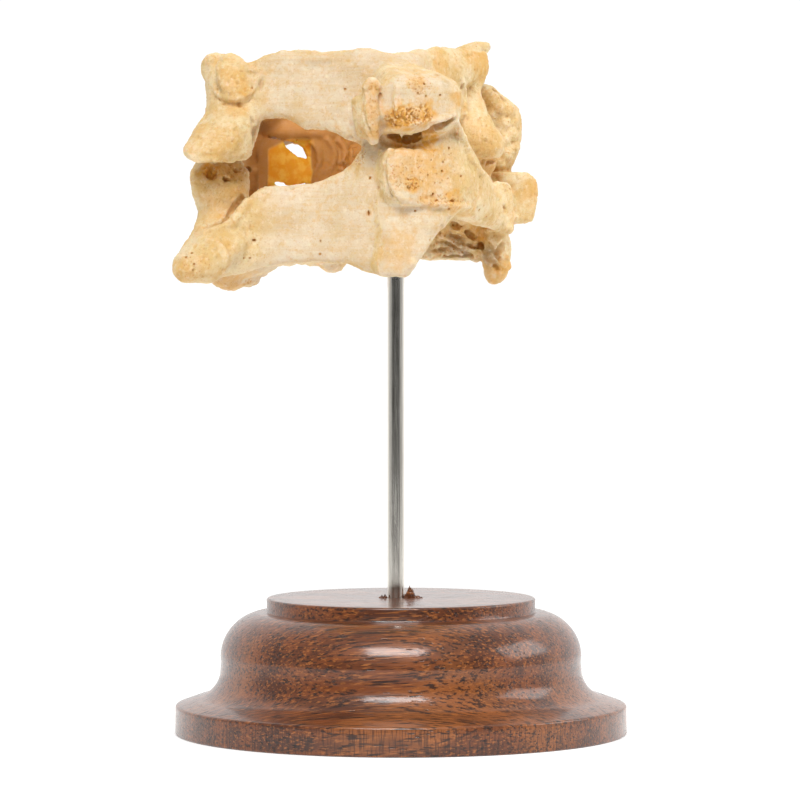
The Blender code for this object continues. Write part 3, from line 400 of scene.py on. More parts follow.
def add_loft(shape, rings):
    """Adds a closed body through rings of points, each ring with the same number."""
    loops = [[shape.verts.new(p) for p in ring] for ring in rings]
    faces = []
    for low, high in zip(loops, loops[1:]):
        for k in range(len(low)):
            nxt = (k + 1) % len(low)
            faces.append(shape.faces.new((low[k], low[nxt], high[nxt], high[k])))
    faces.append(shape.faces.new(reversed(loops[0])))
    faces.append(shape.faces.new(loops[-1]))
    bmesh.ops.recalc_face_normals(shape, faces=faces)


def add_column(shape, stations, squareness=2.4, sides=20, between=4):
    """An upright body. A station is x, y, z, half width, half depth and turn in degrees."""
    rings = []
    for x, y, z, width, depth, turn in smooth_stations(stations, between):
        c, s = math.cos(math.radians(turn)), math.sin(math.radians(turn))
        ring = []
        for u, v in oval(sides, squareness):
            u, v = u * max(width, 0.2), v * max(depth, 0.2)
            ring.append((x + u * c - v * s, y + u * s + v * c, z))
        rings.append(ring)
    add_loft(shape, rings)


def add_wall(shape, stations, squareness=2.3, sides=24, between=4):
    """A wall that runs through x, y from z low to z high. A station also has the wall's
    thickness, and how far its upper edge leans to the left of its way."""
    rows = smooth_stations(stations, between)
    rings = []
    for i, (x, y, low, high, thick, lean) in enumerate(rows):
        before, after = rows[max(i - 1, 0)], rows[min(i + 1, len(rows) - 1)]
        along = Vector((after[0] - before[0], after[1] - before[1])).normalized()
        left = Vector((-along.y, along.x))
        middle, half = (low + high) / 2, (high - low) / 2
        ring = []
        for u, v in oval(sides, squareness):
            aside = u * thick / 2 + lean * v / 2
            ring.append((x + left.x * aside, y + left.y * aside, middle + v * half))
        rings.append(ring)
    add_loft(shape, rings)


def add_strut(shape, stations, sides=14, between=4):
    """A round bar through x, y, z with its own radius at each station."""
    rows = smooth_stations(stations, between)
    rings = []
    side = None
    for i, (x, y, z, radius) in enumerate(rows):
        before, after = rows[max(i - 1, 0)], rows[min(i + 1, len(rows) - 1)]
        along = Vector(after[:3] - before[:3]).normalized()
        start = side if side else along.orthogonal()
        side = (start - along * start.dot(along)).normalized()
        other = along.cross(side)
        centre = Vector((x, y, z))
        rings.append([centre + (side * u + other * v) * radius for u, v in oval(sides, 2)])
    add_loft(shape, rings)


def add_ball(shape, centre, radii, turn=(0, 0, 0)):
    """An ellipsoid, with its turn about x, y and z in degrees."""
    rotation = Matrix.Identity(4)
    for angle, axis in zip(turn, "XYZ"):
        rotation = Matrix.Rotation(math.radians(angle), 4, axis) @ rotation
    placed = Matrix.Translation(centre) @ rotation @ Matrix.Diagonal((*radii, 1))
    bmesh.ops.create_icosphere(shape, subdivisions=3, radius=1, matrix=placed)


def add_body(shape, floor, top, lip, hook):
    """A vertebral body: waisted, with worn, knobbly rims, a low ridge down its front, a lip down
    at the front and hooks up at the sides."""
    wide, deep, y = BODY_HALF_WIDTH, BODY_HALF_DEPTH, BODY_Y
    tall = top - floor
    add_column(shape, [
        (0, y, floor, wide * 0.92, deep * 0.92, 0), (0, y, floor + 0.1 * tall, wide, deep * 1.02, 0),
        (0, y - 0.1, floor + 0.3 * tall, wide * 0.91, deep * 0.9, 0),
        (0, y - 0.3, floor + 0.52 * tall, wide * 0.86, deep * 0.82, 0),
        (0, y - 0.1, floor + 0.74 * tall, wide * 0.92, deep * 0.89, 0),
        (0, y, floor + 0.9 * tall, wide, deep * 0.98, 0), (0, y, top, wide * 0.92, deep * 0.86, 0),
    ], squareness=2.7)
    front = y + 0.68 * deep
    ridge = [(0, front, floor + 1, 2.6, 1.4, 0), (0.3, front - 0.5, floor + tall / 2, 1.5, 1.4, 0)]
    add_column(shape, [*ridge, (0, front, top - 1, 2.6, 1.4, 0)])
    for k in range(RIM_KNOBS):
        angle = math.radians(10 + 160 * k / (RIM_KNOBS - 1))
        out = 0.87 + 0.05 * math.sin(2.3 * k)
        x, knob_y = wide * out * math.cos(angle), y + deep * out * math.sin(angle)
        size = 1.25 + 0.4 * math.sin(1.7 * k)
        add_ball(shape, (x, knob_y, floor + 0.09 * tall), (size * 1.3, size, size * 0.9))
        add_ball(shape, (x, knob_y, floor + 0.9 * tall), (size, size * 0.9, size * 0.8))
    add_wall(shape, [
        (-0.72 * wide, y + deep - 2.2, floor - 0.2, floor + 2.6, 2.2, 0),
        (0, y + deep - 0.8, floor - lip, floor + 2.6, 2.5, 0),
        (0.72 * wide, y + deep - 2.2, floor - 0.2, floor + 2.6, 2.2, 0),
    ])
    for side in (-1, 1):
        add_wall(shape, [
            (side * (wide - 2.4), y - deep + 1.8, top - 3, top + 0.15 * hook, 1.8, 0),
            (side * (wide - 0.6), y - 1.7, top - 3, top + hook, 2.3, side * -1.4),
            (side * (wide - 1.5), y + deep - 4.4, top - 3, top + 0.3 * hook, 1.8, 0),
        ])


def add_pedicle(shape, side, low, high):
    """The bar from a body's back corner out to its pillar."""
    middle, half = (low + high) / 2, (high - low) / 2
    add_strut(shape, [
        (side * 6.5, 10.5, middle, half), (side * 11.0, 7.2, middle, half * 0.85),
        (side * 16.0, 2.2, middle, half),
    ])


def add_transverse(shape, side, low, high, reach, back):
    """A transverse process: a thin front bar that ends in a tubercle, a back bar, and past the
    foramen a gutter with raised edges that joins them. One that stops short of the foramen's
    outer edge is broken off there."""
    middle, half = (low + high) / 2, (high - low) / 2
    broken = reach < ARTERY_X + 6
    tip = ARTERY_X - 1 if broken else ARTERY_X + 1.6
    add_strut(shape, [
        (side * 6.6, 14.6, middle, half * 0.85), (side * 10.4, 15.1, middle - 0.2, half * 0.55),
        (side * 13.0, 14.9, middle - 0.6, half * 0.48), (side * tip, 13.7, middle - 0.6, half * 0.62),
    ])
    add_wall(shape, [
        (side * 17.0, 2.6, low + 0.5, high - 0.5, 3.0, 0),
        (side * (reach - 4.0), back, low, high, 3.0, 0),
        (side * reach, back + 1.5, low + 1.0, high - 1.0, 2.6, 0),
    ])
    if broken:
        return
    add_ball(shape, (side * (tip + 0.5), 14.2, middle + 0.5), (1.9, 1.8, 2.5), (0, side * 20, 0))
    add_wall(shape, [
        (side * tip, 12.8, low + 0.6, low + 4.2, 3.4, 0),
        (side * (tip + 3.4), 10.6, low + 0.2, low + 3.4, 5.4, 0),
        (side * (reach - 4.4), 8.0, low + 0.2, low + 3.6, 6.0, 0),
        (side * (reach - 1.4), 6.0, low + 0.4, high - 2.4, 4.6, 0),
    ])
    add_strut(shape, [
        (side * tip, 14.2, middle, 1.5), (side * (tip + 3.2), 12.8, low + 3.2, 1.1),
        (side * (reach - 3.4), 10.2, low + 3.6, 1.2), (side * (reach - 1.2), 7.6, middle, 1.7),
    ])


def upper_bone(shape):
    """The upper vertebra, with the joint below it at z 0."""
    add_body(shape, *UPPER_BODY, lip=0.3, hook=1.6)
    for side in (-1, 1):
        add_pedicle(shape, side, 6.4, 11.8)
    # Left pillar: the facet above, a waist, and the lobe that hangs over the joint
    add_column(shape, [
        (-18.0, 3.4, 15.7, 1.4, 1.0, 10), (-17.9, 2.4, 13.6, 2.9, 2.2, 10),
        (-17.6, 1.0, 10.5, 3.4, 3.6, 0), (-18.0, -0.9, 7.4, 3.8, 4.1, 0),
        (-19.9, -2.4, 4.4, 4.9, 3.9, 8), (-21.3, -3.5, 1.9, 5.5, 3.2, 10),
        (-21.6, -4.0, 0.5, 4.8, 2.1, 10),
    ])
    add_ball(shape, (-18.1, -1.9, 12.2), (3.1, 4.2, 1.7), (60, 4, 6))
    add_ball(shape, (-19.4, 3.0, 13.9), (1.9, 2.0, 2.1))
    # Right pillar, with a longer beak
    add_column(shape, [
        (21.6, 2.4, 17.3, 1.7, 1.1, -25), (20.6, 1.8, 15.2, 3.0, 2.2, -25),
        (18.0, 0.4, 11.4, 3.0, 3.9, 0), (18.4, -1.2, 7.4, 3.4, 4.3, 0), (19.2, -2.8, 4.6, 4.1, 3.8, -8),
        (19.8, -3.6, 2.4, 3.8, 2.8, -10), (20.0, -3.8, 1.1, 2.8, 1.8, -10),
    ])
    add_ball(shape, (18.4, -0.6, 13.6), (3.4, 4.4, 1.4), (48, -10, -10))
    add_strut(shape, [(16.5, 0.2, 15.4, 1.5), (20.3, 0.7, 16.9, 1.2), (24.0, 1.0, 17.8, 0.6)])
    # Laminae
    add_wall(shape, [
        (-17.5, -2.2, 6.2, 13.4, 3.0, 0.6), (-14.0, -3.9, 6.3, 15.5, 3.0, 0.8),
        (-11.5, -5.8, 6.3, 16.4, 2.8, 1.0), (-9.6, -7.3, 4.8, 16.2, 2.8, 1.0),
        (-6.8, -9.6, 4.3, 16.1, 2.8, 1.0), (-3.0, -12.8, 2.6, 16.3, 3.4, 0.6),
        (0.5, -13.6, 2.0, 15.7, 4.0, 0.2),
    ], squareness=2.8)
    add_wall(shape, [
        (-0.5, -13.6, 2.0, 15.7, 4.0, 0.2), (3.4, -12.6, 2.6, 15.9, 3.6, 0.6),
        (8.6, -9.8, 4.5, 16.7, 3.0, 1.0), (13.4, -5.8, 6.0, 17.3, 3.0, 1.0),
        (17.5, -2.0, 6.2, 16.4, 3.0, 0.8),
    ], squareness=2.8)
    add_wall(shape, [
        (10.0, -8.6, 10.8, 16.6, 3.0, 0.6), (14.5, -5.6, 11.4, 16.9, 3.2, 0.6),
        (18.6, -2.9, 12.0, 17.2, 3.0, 0.6), (21.8, -1.2, 13.4, 17.8, 2.2, 0.4),
    ])
    # Spinous process, broken short, with a ridge down its left side
    add_wall(shape, [
        (1.6, -12.5, 3.4, 15.0, 7.6, 0), (2.0, -15.5, 3.6, 14.0, 10.0, 0),
        (2.4, -18.5, 3.9, 13.0, 12.0, 0), (2.6, -20.6, 4.4, 12.2, 12.0, 0),
        (2.7, -21.6, 5.2, 11.4, 10.6, 0),
    ], squareness=3.4)
    add_strut(shape, [
        (-4.4, -17.6, 11.6, 0.7), (-5.1, -19.0, 10.2, 1.2), (-5.2, -19.4, 7.4, 1.25),
        (-4.9, -19.1, 4.4, 1.15), (-4.2, -18.3, 2.6, 0.8),
    ])
    add_strut(shape, [(-4.6, -16.8, 9.4, 2.2), (-4.4, -17.0, 6.4, 2.3), (-3.8, -16.4, 3.8, 1.8)])
    # Transverse processes: the right one swells into a rough knuckle, the left one is a stub
    add_transverse(shape, 1, 2.6, 10.2, 28.5, 4.6)
    add_column(shape, [
        (24.7, 5.0, 12.5, 1.0, 1.2, 20), (25.6, 5.3, 11.0, 2.2, 2.2, 20),
        (27.2, 5.7, 9.2, 3.2, 2.9, 20), (27.7, 6.0, 7.4, 3.4, 3.2, 20), (27.8, 6.0, 4.4, 3.4, 3.3, 20),
        (27.4, 5.8, 1.8, 3.0, 3.0, 20), (26.9, 5.5, 0.0, 2.3, 2.4, 20), (26.3, 5.2, -1.8, 1.3, 1.4, 20),
    ])
    add_transverse(shape, -1, 4.4, 9.4, 18.5, 4.4)


def lower_bone(shape):
    """The lower vertebra, with the joint above it at z 0."""
    add_body(shape, *LOWER_BODY, lip=0.6, hook=3.2)
    for side in (-1, 1):
        add_pedicle(shape, side, -11.2, -5.4)
    # A lip of new bone that hangs from the body's lower left edge, and a chip at its right
    add_strut(shape, [
        (-13.6, 13.6, -14.6, 1.6), (-12.0, 15.6, -15.6, 2.3), (-8.2, 17.6, -15.4, 2.3),
        (-4.6, 19.2, -13.8, 1.8),
    ])
    add_strut(shape, [(-13.2, 12.4, -13.0, 2.6), (-9.0, 14.0, -12.6, 3.2), (-5.0, 15.0, -12.4, 3.0)])
    add_ball(shape, (6.4, 18.4, -14.0), (2.0, 2.0, 1.3))
    # Left pillar, under the lobe of the upper bone, and its end knob
    add_column(shape, [
        (-18.6, 2.8, 1.4, 2.4, 1.4, 10), (-19.1, 1.7, -0.8, 4.2, 3.0, 10),
        (-19.1, 1.0, -3.6, 4.2, 3.5, 5), (-18.7, 0.7, -7.0, 3.6, 3.4, 0),
        (-20.4, -2.0, -10.4, 4.4, 4.6, 5), (-23.2, -3.6, -13.4, 5.0, 4.0, 10),
        (-24.6, -4.2, -15.4, 4.0, 3.0, 10), (-25.0, -4.4, -16.7, 2.4, 2.0, 10),
    ])
    # Right pillar, squared off at its outer side, with a lobe that hangs from it
    add_column(shape, [
        (18.4, 2.8, 1.8, 2.4, 1.4, -10), (19.2, 1.6, -0.8, 4.0, 3.2, -10),
        (19.6, 0.6, -3.8, 4.4, 4.2, 0), (19.6, 1.0, -7.6, 4.4, 3.6, 0), (20.2, 1.6, -11.0, 4.2, 2.8, 0),
        (21.0, 1.8, -13.2, 3.6, 2.2, 0),
    ])
    add_column(shape, [
        (23.9, -0.2, -7.2, 1.9, 3.2, -26), (24.0, -0.6, -10.6, 2.1, 3.9, -26),
        (24.1, -0.9, -13.4, 2.1, 3.5, -26), (23.8, -1.1, -15.6, 1.8, 2.6, -26),
        (23.4, -1.2, -17.0, 0.9, 1.3, -26),
    ])
    add_wall(shape, [
        (8.6, 6.6, -12.4, -5.6, 4.0, 0), (12.6, 4.4, -13.2, -6.0, 4.4, 0),
        (17.0, 2.6, -13.6, -6.0, 4.6, 0), (22.0, 2.0, -13.4, -6.0, 4.0, 0),
    ], squareness=3)
    # Laminae: the left one is whole, and the right one is bitten away below
    add_wall(shape, [
        (-23.5, -3.4, -16.2, -10.8, 4.4, 0), (-19.8, -3.8, -15.8, -7.6, 3.4, 0.4),
        (-15.8, -5.2, -14.9, -3.2, 3.0, 0.8), (-12.0, -6.6, -14.3, -3.0, 2.8, 0.9),
        (-8.0, -8.8, -13.9, -2.3, 2.8, 1.0), (-5.0, -11.2, -14.2, -0.2, 3.2, 1.0),
        (-2.4, -13.6, -15.5, 4.0, 4.0, 0.6), (0.6, -14.8, -15.4, 5.0, 4.6, 0.2),
    ], squareness=3)
    add_wall(shape, [
        (-0.5, -14.8, -15.2, 4.6, 4.6, 0.2), (4.0, -16.4, -12.6, 5.4, 5.4, 0.4),
        (8.4, -16.2, -7.4, 6.6, 5.0, 0.6), (12.0, -13.2, -7.6, 2.6, 4.6, 0.8),
        (15.8, -9.2, -8.2, -1.2, 4.0, 0.6), (20.0, -6.2, -9.0, -2.2, 3.4, 0.2),
        (24.0, -4.6, -9.8, -2.3, 2.4, 0.0),
    ], squareness=2.8)
    add_strut(shape, [(16.0, -4.0, -4.8, 2.8), (19.6, -2.0, -5.0, 3.0)])
    add_wall(shape, [
        (4.5, -17.0, -6.2, 3.0, 5.0, 0), (8.6, -15.9, -6.4, 5.4, 5.0, 0.6),
        (12.2, -13.4, -7.0, 3.2, 4.8, 0.8), (15.4, -10.4, -7.4, 0.4, 4.0, 0.6),
        (18.8, -7.6, -8.0, -1.6, 3.2, 0.2),
    ], squareness=2.8)
    # Spinous process: a broken root above a keel that takes the rod
    add_wall(shape, [
        (2.6, -13.4, -6.4, 3.0, 10.0, 0), (3.0, -16.4, -6.2, 2.6, 12.0, 0),
        (3.4, -18.4, -5.9, 2.2, 12.4, 0), (3.6, -19.6, -5.4, 1.7, 11.6, 0),
    ], squareness=3.6)
    add_column(shape, [
        (2.2, -14.6, -2.0, 5.0, 3.2, 0), (2.4, -15.6, -6.0, 5.4, 3.0, 0),
        (1.8, -16.0, -9.5, 4.6, 2.9, 0), (0.4, -16.4, -13.0, 3.5, 2.6, 0),
        (-0.3, -16.5, -14.8, 2.8, 2.4, 0), (-0.6, -16.6, -15.9, 2.0, 2.0, 0),
    ])
    # Transverse processes: the right one ends in a squared stub, the left one is broken off
    add_transverse(shape, 1, -12.2, -5.4, 27.5, 3.6)
    add_column(shape, [
        (28.2, 3.0, -0.6, 2.4, 2.2, 0), (28.5, 3.0, -1.8, 3.1, 2.7, 0), (28.5, 3.0, -4.4, 3.1, 2.7, 0),
        (28.3, 3.0, -7.2, 2.7, 2.5, 0), (28.2, 3.0, -8.0, 2.3, 2.1, 0),
    ], squareness=5)
    add_strut(shape, [(20.0, 1.5, -4.4, 3.2), (25.0, 2.6, -4.6, 3.3), (28.6, 3.0, -4.6, 2.8)])
    add_transverse(shape, -1, -11.4, -6.2, 18.0, 4.4)
    # New bone that fills the right half of the disc space and runs over its front, and the
    # right joint
    add_column(shape, [
        (4.6, 13.9, -5.8, 3.7, 6.2, -26), (4.6, 13.9, -1.4, 3.8, 6.4, -26),
        (5.2, 13.9, 2.2, 3.9, 6.5, -26), (5.3, 13.9, 6.6, 3.9, 6.4, -26),
    ], squareness=3.0)
    add_column(shape, [
        (6.6, 11.8, -5.6, 3.4, 4.3, 0), (6.8, 11.8, 0.4, 3.2, 4.2, 0), (6.6, 11.8, 6.4, 3.4, 4.3, 0),
    ])
    add_strut(shape, [
        (6.0, 19.2, -7.2, 1.2), (6.8, 20.3, -2.0, 1.7), (6.6, 20.2, 2.6, 1.5), (6.0, 19.4, 7.6, 1.1),
    ])
    add_strut(shape, [
        (8.4, 16.2, -6.8, 1.4), (9.6, 17.0, -1.4, 1.8), (9.3, 16.8, 3.0, 1.6), (8.6, 16.2, 7.8, 1.3),
    ])
    add_column(shape, [
        (0.8, 9.6, -5.0, 2.4, 2.0, 0), (1.0, 9.4, 0.4, 2.0, 1.5, 0), (0.9, 9.6, 5.4, 2.4, 2.0, 0),
    ])
    add_ball(shape, (20.0, -0.6, 1.4), (4.0, 3.4, 3.4))
    # The root of the thin plate, at the side of the open half of the disc space
    add_strut(shape, [(-9.4, 12.4, -4.0, 1.8), (-9.9, 11.6, 0.4, 1.6), (-9.4, 11.2, 5.0, 1.8)])


def thin_plate(shape):
    """A plate of new bone, thin enough for light to pass, that stands in the open half of the
    disc space, with a rounded gap over its right half and two slits under it."""
    add_wall(shape, [
        (-9.2, 10.2, -4.0, 4.6, 1.6, 0), (-8.0, 9.8, -2.6, 4.3, 0.9, 0), (-6.6, 9.5, -2.2, 4.0, 0.7, 0),
        (-5.6, 9.4, -2.4, 3.7, 0.65, 0), (-5.0, 9.4, -2.7, 2.9, 0.65, 0),
        (-4.2, 9.4, -2.7, 2.2, 0.65, 0), (-3.2, 9.4, -2.5, 1.6, 0.65, 0),
        (-2.2, 9.4, -2.4, 1.4, 0.7, 0), (-1.0, 9.5, -2.6, 1.6, 0.9, 0), (0.2, 9.7, -3.4, 3.4, 1.4, 0),
    ], squareness=3.4)
    add_wall(shape, [
        (-5.8, 9.5, 4.0, 5.2, 1.1, 0), (-4.4, 9.5, 3.7, 5.4, 1.0, 0), (-3.0, 9.5, 3.2, 5.4, 0.9, 0),
        (-2.2, 9.5, 2.6, 5.4, 0.9, 0), (-1.6, 9.6, 1.6, 5.4, 1.0, 0), (-0.6, 9.7, 0.0, 5.4, 1.4, 0),
    ], squareness=3.0)


def canal(shape):
    """The hole for the spinal cord, and the two for the vertebral arteries."""
    cord = [(0, CANAL_Y, z, CANAL_HALF_WIDTH, CANAL_HALF_DEPTH, 0) for z in (-FAR / 2, FAR / 2)]
    add_column(shape, cord, squareness=2.6, between=1)
    for side in (-1, 1):
        middle = (side * ARTERY_X, ARTERY_Y)
        artery = [(*middle, z, ARTERY_RADIUS, ARTERY_RADIUS, 0) for z in (-FAR / 2, FAR / 2)]
        add_column(shape, artery, squareness=2, sides=16, between=1)


def upper_breaks(shape):
    """What is broken or worn away from the upper bone."""
    add_strut(shape, [
        (-3.2, -22.6, 12.6, 0.9), (-3.5, -21.2, 9.4, 0.9), (-3.3, -21.4, 6.0, 0.7),
    ], sides=10)
    add_ball(shape, (0, BODY_Y, 19.2), (BODY_HALF_WIDTH - 1.6, BODY_HALF_DEPTH - 1.0, 6.8))
    add_strut(shape, [
        (9.6, -20.6, 11.2, 0.5), (9.3, -17.0, 9.4, 0.6), (9.4, -16.4, 7.0, 0.5),
    ], sides=8)
    add_ball(shape, (19.6, -1.8, 17.0), (3.4, 1.0, 0.7), (0, -14, 20))


def lower_breaks(shape):
    """What is broken or worn away from the lower bone."""
    add_strut(shape, [
        (-2.4, -21.8, -6.6, 0.7), (3.4, -21.0, -6.9, 0.8), (9.4, -19.4, -7.2, 0.7),
    ], sides=10)
    add_ball(shape, (17.6, -3.2, -11.6), (5.2, 3.0, 2.4), (0, 8, -20))
    add_ball(shape, (0, BODY_Y - 0.6, -19.4), (BODY_HALF_WIDTH - 1.8, BODY_HALF_DEPTH - 1.4, 6.4))
    add_ball(shape, (-21.6, -4.4, -1.4), (1.0, 1.4, 1.2))
    add_ball(shape, (-17.2, -4.4, -3.2), (1.2, 1.2, 0.9))


def object_from(name, shape):
    """An object that holds what a bmesh holds. Meshes are in millimetres until the very end."""
    mesh = bpy.data.meshes.new(name)
    shape.to_mesh(mesh)
    shape.free()
    made = bpy.data.objects.new(name, mesh)
    bpy.context.scene.collection.objects.link(made)
    return made


def built(name, *builders):
    """An object from a fresh bmesh that each builder adds to."""
    shape = bmesh.new()
    for builder in builders:
        builder(shape)
    return object_from(name, shape)


def applied(thing):
    """Swaps an object's mesh for the one that its modifiers make."""
    graph = bpy.context.evaluated_depsgraph_get()
    made = bpy.data.meshes.new_from_object(thing.evaluated_get(graph))
    thing.modifiers.clear()
    old = thing.data
    thing.data = made
    bpy.data.meshes.remove(old)


def boolean(thing, other, operation):
    """Cuts or joins thing with other, applies it, and removes other."""
    cut = thing.modifiers.new("boolean", "BOOLEAN")
    cut.operation = operation
    cut.object = other
    cut.solver = "MANIFOLD"
    applied(thing)
    bpy.data.objects.remove(other)


def skinned(thing, voxel, smoothing):
    """Makes one skin over an object's overlapping bodies, and smooths it where they meet."""
    skin = thing.modifiers.new("skin", "REMESH")
    skin.mode = "VOXEL"
    skin.voxel_size = voxel
    if smoothing:
        smooth = thing.modifiers.new("smooth", "SMOOTH")
        smooth.factor = 0.5
        smooth.iterations = smoothing
    applied(thing)


def joined(thing, other):
    """Adds other's mesh to thing's, and removes other."""
    shape = bmesh.new()
    shape.from_mesh(thing.data)
    shape.from_mesh(other.data)
    shape.to_mesh(thing.data)
    shape.free()
    bpy.data.objects.remove(other)


def keep_largest(thing):
    """Drops every closed surface of a mesh but the one with the most faces."""
    mesh = thing.data
    count = len(mesh.vertices)
    edges = edge_array(mesh)
    label = np.arange(count)
    while True:
        low = np.minimum(label[edges[:, 0]], label[edges[:, 1]])
        new = label.copy()
        np.minimum.at(new, edges[:, 0], low)
        np.minimum.at(new, edges[:, 1], low)
        new = new[new]
        if np.array_equal(new, label):
            break
        label = new
    values, sizes = np.unique(label, return_counts=True)
    kept = values[sizes.argmax()]
    shape = bmesh.new()
    shape.from_mesh(mesh)
    shape.verts.ensure_lookup_table()
    loose = [shape.verts[i] for i in np.nonzero(label != kept)[0]]
    bmesh.ops.delete(shape, geom=loose, context="VERTS")
    shape.to_mesh(mesh)
    shape.free()


def rows_of(items, field, width, kind=np.float32):
    """One field of every item, a row for each."""
    values = np.empty(len(items) * width, kind)
    items.foreach_get(field, values)
    return values.reshape(-1, width)


def edge_array(mesh):
    """The two vertices of every edge."""
    return rows_of(mesh.edges, "vertices", 2, np.int32)


def point_array(mesh):
    """Where every vertex is."""
    return rows_of(mesh.vertices, "co", 3).astype(float)


def normal_array(mesh):
    """Which way every vertex faces."""
    return rows_of(mesh.vertex_normals, "vector", 3).astype(float)


def neighbour_mean(values, edges):
    """At every vertex, the mean of the values at the vertices next to it."""
    count = len(values)
    near = np.bincount(edges.ravel(), minlength=count).clip(1)
    made = np.zeros_like(values)
    columns = values.reshape(count, -1)
    for k in range(columns.shape[1]):
        column = columns[:, k]
        total = np.bincount(edges[:, 0], weights=column[edges[:, 1]], minlength=count)
        total += np.bincount(edges[:, 1], weights=column[edges[:, 0]], minlength=count)
        made.reshape(count, -1)[:, k] = total / near
    return made


def spread(values, edges, rounds):
    """The values smoothed over the surface."""
    for _ in range(rounds):
        values = 0.5 * values + 0.5 * neighbour_mean(values, edges)
    return values


def bulge(mesh, rounds):
    """How much the surface bulges out at every vertex: above 0 on ridges, and below 0 in hollows."""
    edges, points, normals = edge_array(mesh), point_array(mesh), normal_array(mesh)
    return ((points - spread(points, edges, rounds)) * normals).sum(axis=1)


def noise_array(points, length, octaves=3, stretch=(1, 1, 1), shift=0.0):
    """Smooth noise of about -1 to 1 at every point, with lumps of that length."""
    scaled = points / (np.array(stretch) * length) + shift
    return np.array([noise.fractal(Vector(p), 1.0, 2.0, octaves) for p in scaled.tolist()])


def moved(mesh, rise):
    """Moves every vertex along its normal."""
    points = point_array(mesh) + normal_array(mesh) * rise[:, None]
    mesh.vertices.foreach_set("co", points.astype(np.float32).ravel())
    mesh.update()


def ramp(values, low, high):
    """0 below low, 1 above high, and a smooth rise between."""
    t = np.clip((values - low) / (high - low), 0, 1)
    return t * t * (3 - 2 * t)


def in_bones():
    """Turns world metres into the bones' own millimetres."""
    turn = Matrix.Rotation(math.radians(-YAW), 4, "Z")
    return turn @ Matrix.Translation((-BONE_X, -BONE_Y, -BONE_Z)) @ Matrix.Scale(1 / MM, 4)


def make_camera():
    """The camera of the photograph."""
    data = bpy.data.cameras.new("camera")
    camera = bpy.data.objects.new("camera", data)
    bpy.context.scene.collection.objects.link(camera)
    pitch = math.atan((PICTURE / 2 - HORIZON_PIXEL) / FOCAL_PIXELS)
    camera.location = (0, -CAMERA_DISTANCE, CAMERA_HEIGHT)
    camera.rotation_euler = (math.pi / 2 - pitch, 0, 0)
    data.sensor_width = SENSOR
    data.lens = FOCAL_PIXELS / PICTURE * SENSOR
    data.shift_x = (PICTURE / 2 - CAMERA_CENTRE_PIXEL) / PICTURE
    data.clip_start = 0.01
    data.clip_end = 20
    bpy.context.scene.camera = camera
    bpy.context.view_layer.update()
    return camera


class Sight:
    """Finds where the camera sees a surface, in the bones' own millimetres."""

    def __init__(self, camera, mesh):
        self.to_bones = in_bones()
        self.camera = camera.matrix_world.copy()
        shape = bmesh.new()
        shape.from_mesh(mesh)
        self.tree = BVHTree.FromBMesh(shape)
        shape.free()

    def at(self, x, y):
        """The point and normal seen at a pixel of the photograph, or None beside the bones."""
        ray = Vector(((x - CAMERA_CENTRE_PIXEL) / FOCAL_PIXELS, (PICTURE / 2 - y) / FOCAL_PIXELS, -1))
        start = self.to_bones @ self.camera.translation
        ahead = self.to_bones @ (self.camera @ ray)
        point, normal, _, _ = self.tree.ray_cast(start, (ahead - start).normalized())
        return (point, normal) if point else None

    def seen(self, rows):
        """For each row whose pixel, its first two values, is on the bones: the point, the normal
        and the rest of the row."""
        for x, y, *rest in rows:
            found = self.at(x, y)
            if found:
                yield (*found, *rest)


def new_material(name):
    """A material with its node tree and its Principled shader."""
    material = bpy.data.materials.new(name)
    material.use_nodes = True
    return material, material.node_tree, material.node_tree.nodes["Principled BSDF"]


def node(tree, kind, settings=None, **inputs):
    """Adds a shader node. An input is a value or another node's output; a_b stands for 'A B'."""
    made = tree.nodes.new("ShaderNode" + kind)
    for name, value in (settings or {}).items():
        setattr(made, name, value)
    feed(tree, made, **inputs)
    return made


def feed(tree, made, **inputs):
    """Sets a node's inputs. i3 stands for the input of number 3."""
    for name, value in inputs.items():
        numbered = name[0] == "i" and name[1:].isdigit()
        socket = made.inputs[int(name[1:]) if numbered else name.replace("_", " ")]
        if isinstance(value, bpy.types.NodeSocket):
            tree.links.new(value, socket)
        else:
            socket.default_value = value


def place(tree, stretch=(1, 1, 1)):
    """The point on the model in millimetres, divided by the stretch."""
    where = node(tree, "TexCoord").outputs["Object"]
    scale = tuple(1 / MM / s for s in stretch)
    return node(tree, "Mapping", Vector=where, Scale=scale).outputs["Vector"]


def noisy(tree, vector, length, detail=3.0, rough=0.55):
    """Noise of 0 to 1 with lumps of that length."""
    made = node(tree, "TexNoise", Vector=vector, Scale=1 / length, Detail=detail, Roughness=rough)
    return made.outputs["Fac"]


def celled(tree, vector, size):
    """How far a point is from the middle of its cell, for cells of that size."""
    made = node(tree, "TexVoronoi", Vector=vector, Scale=1 / size, Randomness=1.0)
    return made.outputs["Distance"]


def ranged(tree, value, low, high, new_low=0.0, new_high=1.0):
    """A value moved smoothly from one range to another, and held inside it."""
    limits = {"From_Min": low, "From_Max": high, "To_Min": new_low, "To_Max": new_high}
    made = node(tree, "MapRange", {"interpolation_type": "SMOOTHSTEP"}, Value=value, **limits)
    return made.outputs["Result"]


def sums(tree, operation, a, b):
    """Two values added, multiplied or the like."""
    return node(tree, "Math", {"operation": operation}, i0=a, i1=b).outputs[0]


def times(tree, a, b):
    """Two values multiplied."""
    return sums(tree, "MULTIPLY", a, b)


def mixed(tree, share, a, b):
    """Colour a, with a share of colour b over it."""
    return node(tree, "Mix", {"data_type": "RGBA"}, i0=share, i6=a, i7=b).outputs[2]


def bumped(tree, height, strength, depth):
    """A normal that follows a height of 0 to 1, with its depth in metres."""
    made = node(tree, "Bump", Height=height, Strength=strength, Distance=depth)
    return made.outputs["Normal"]


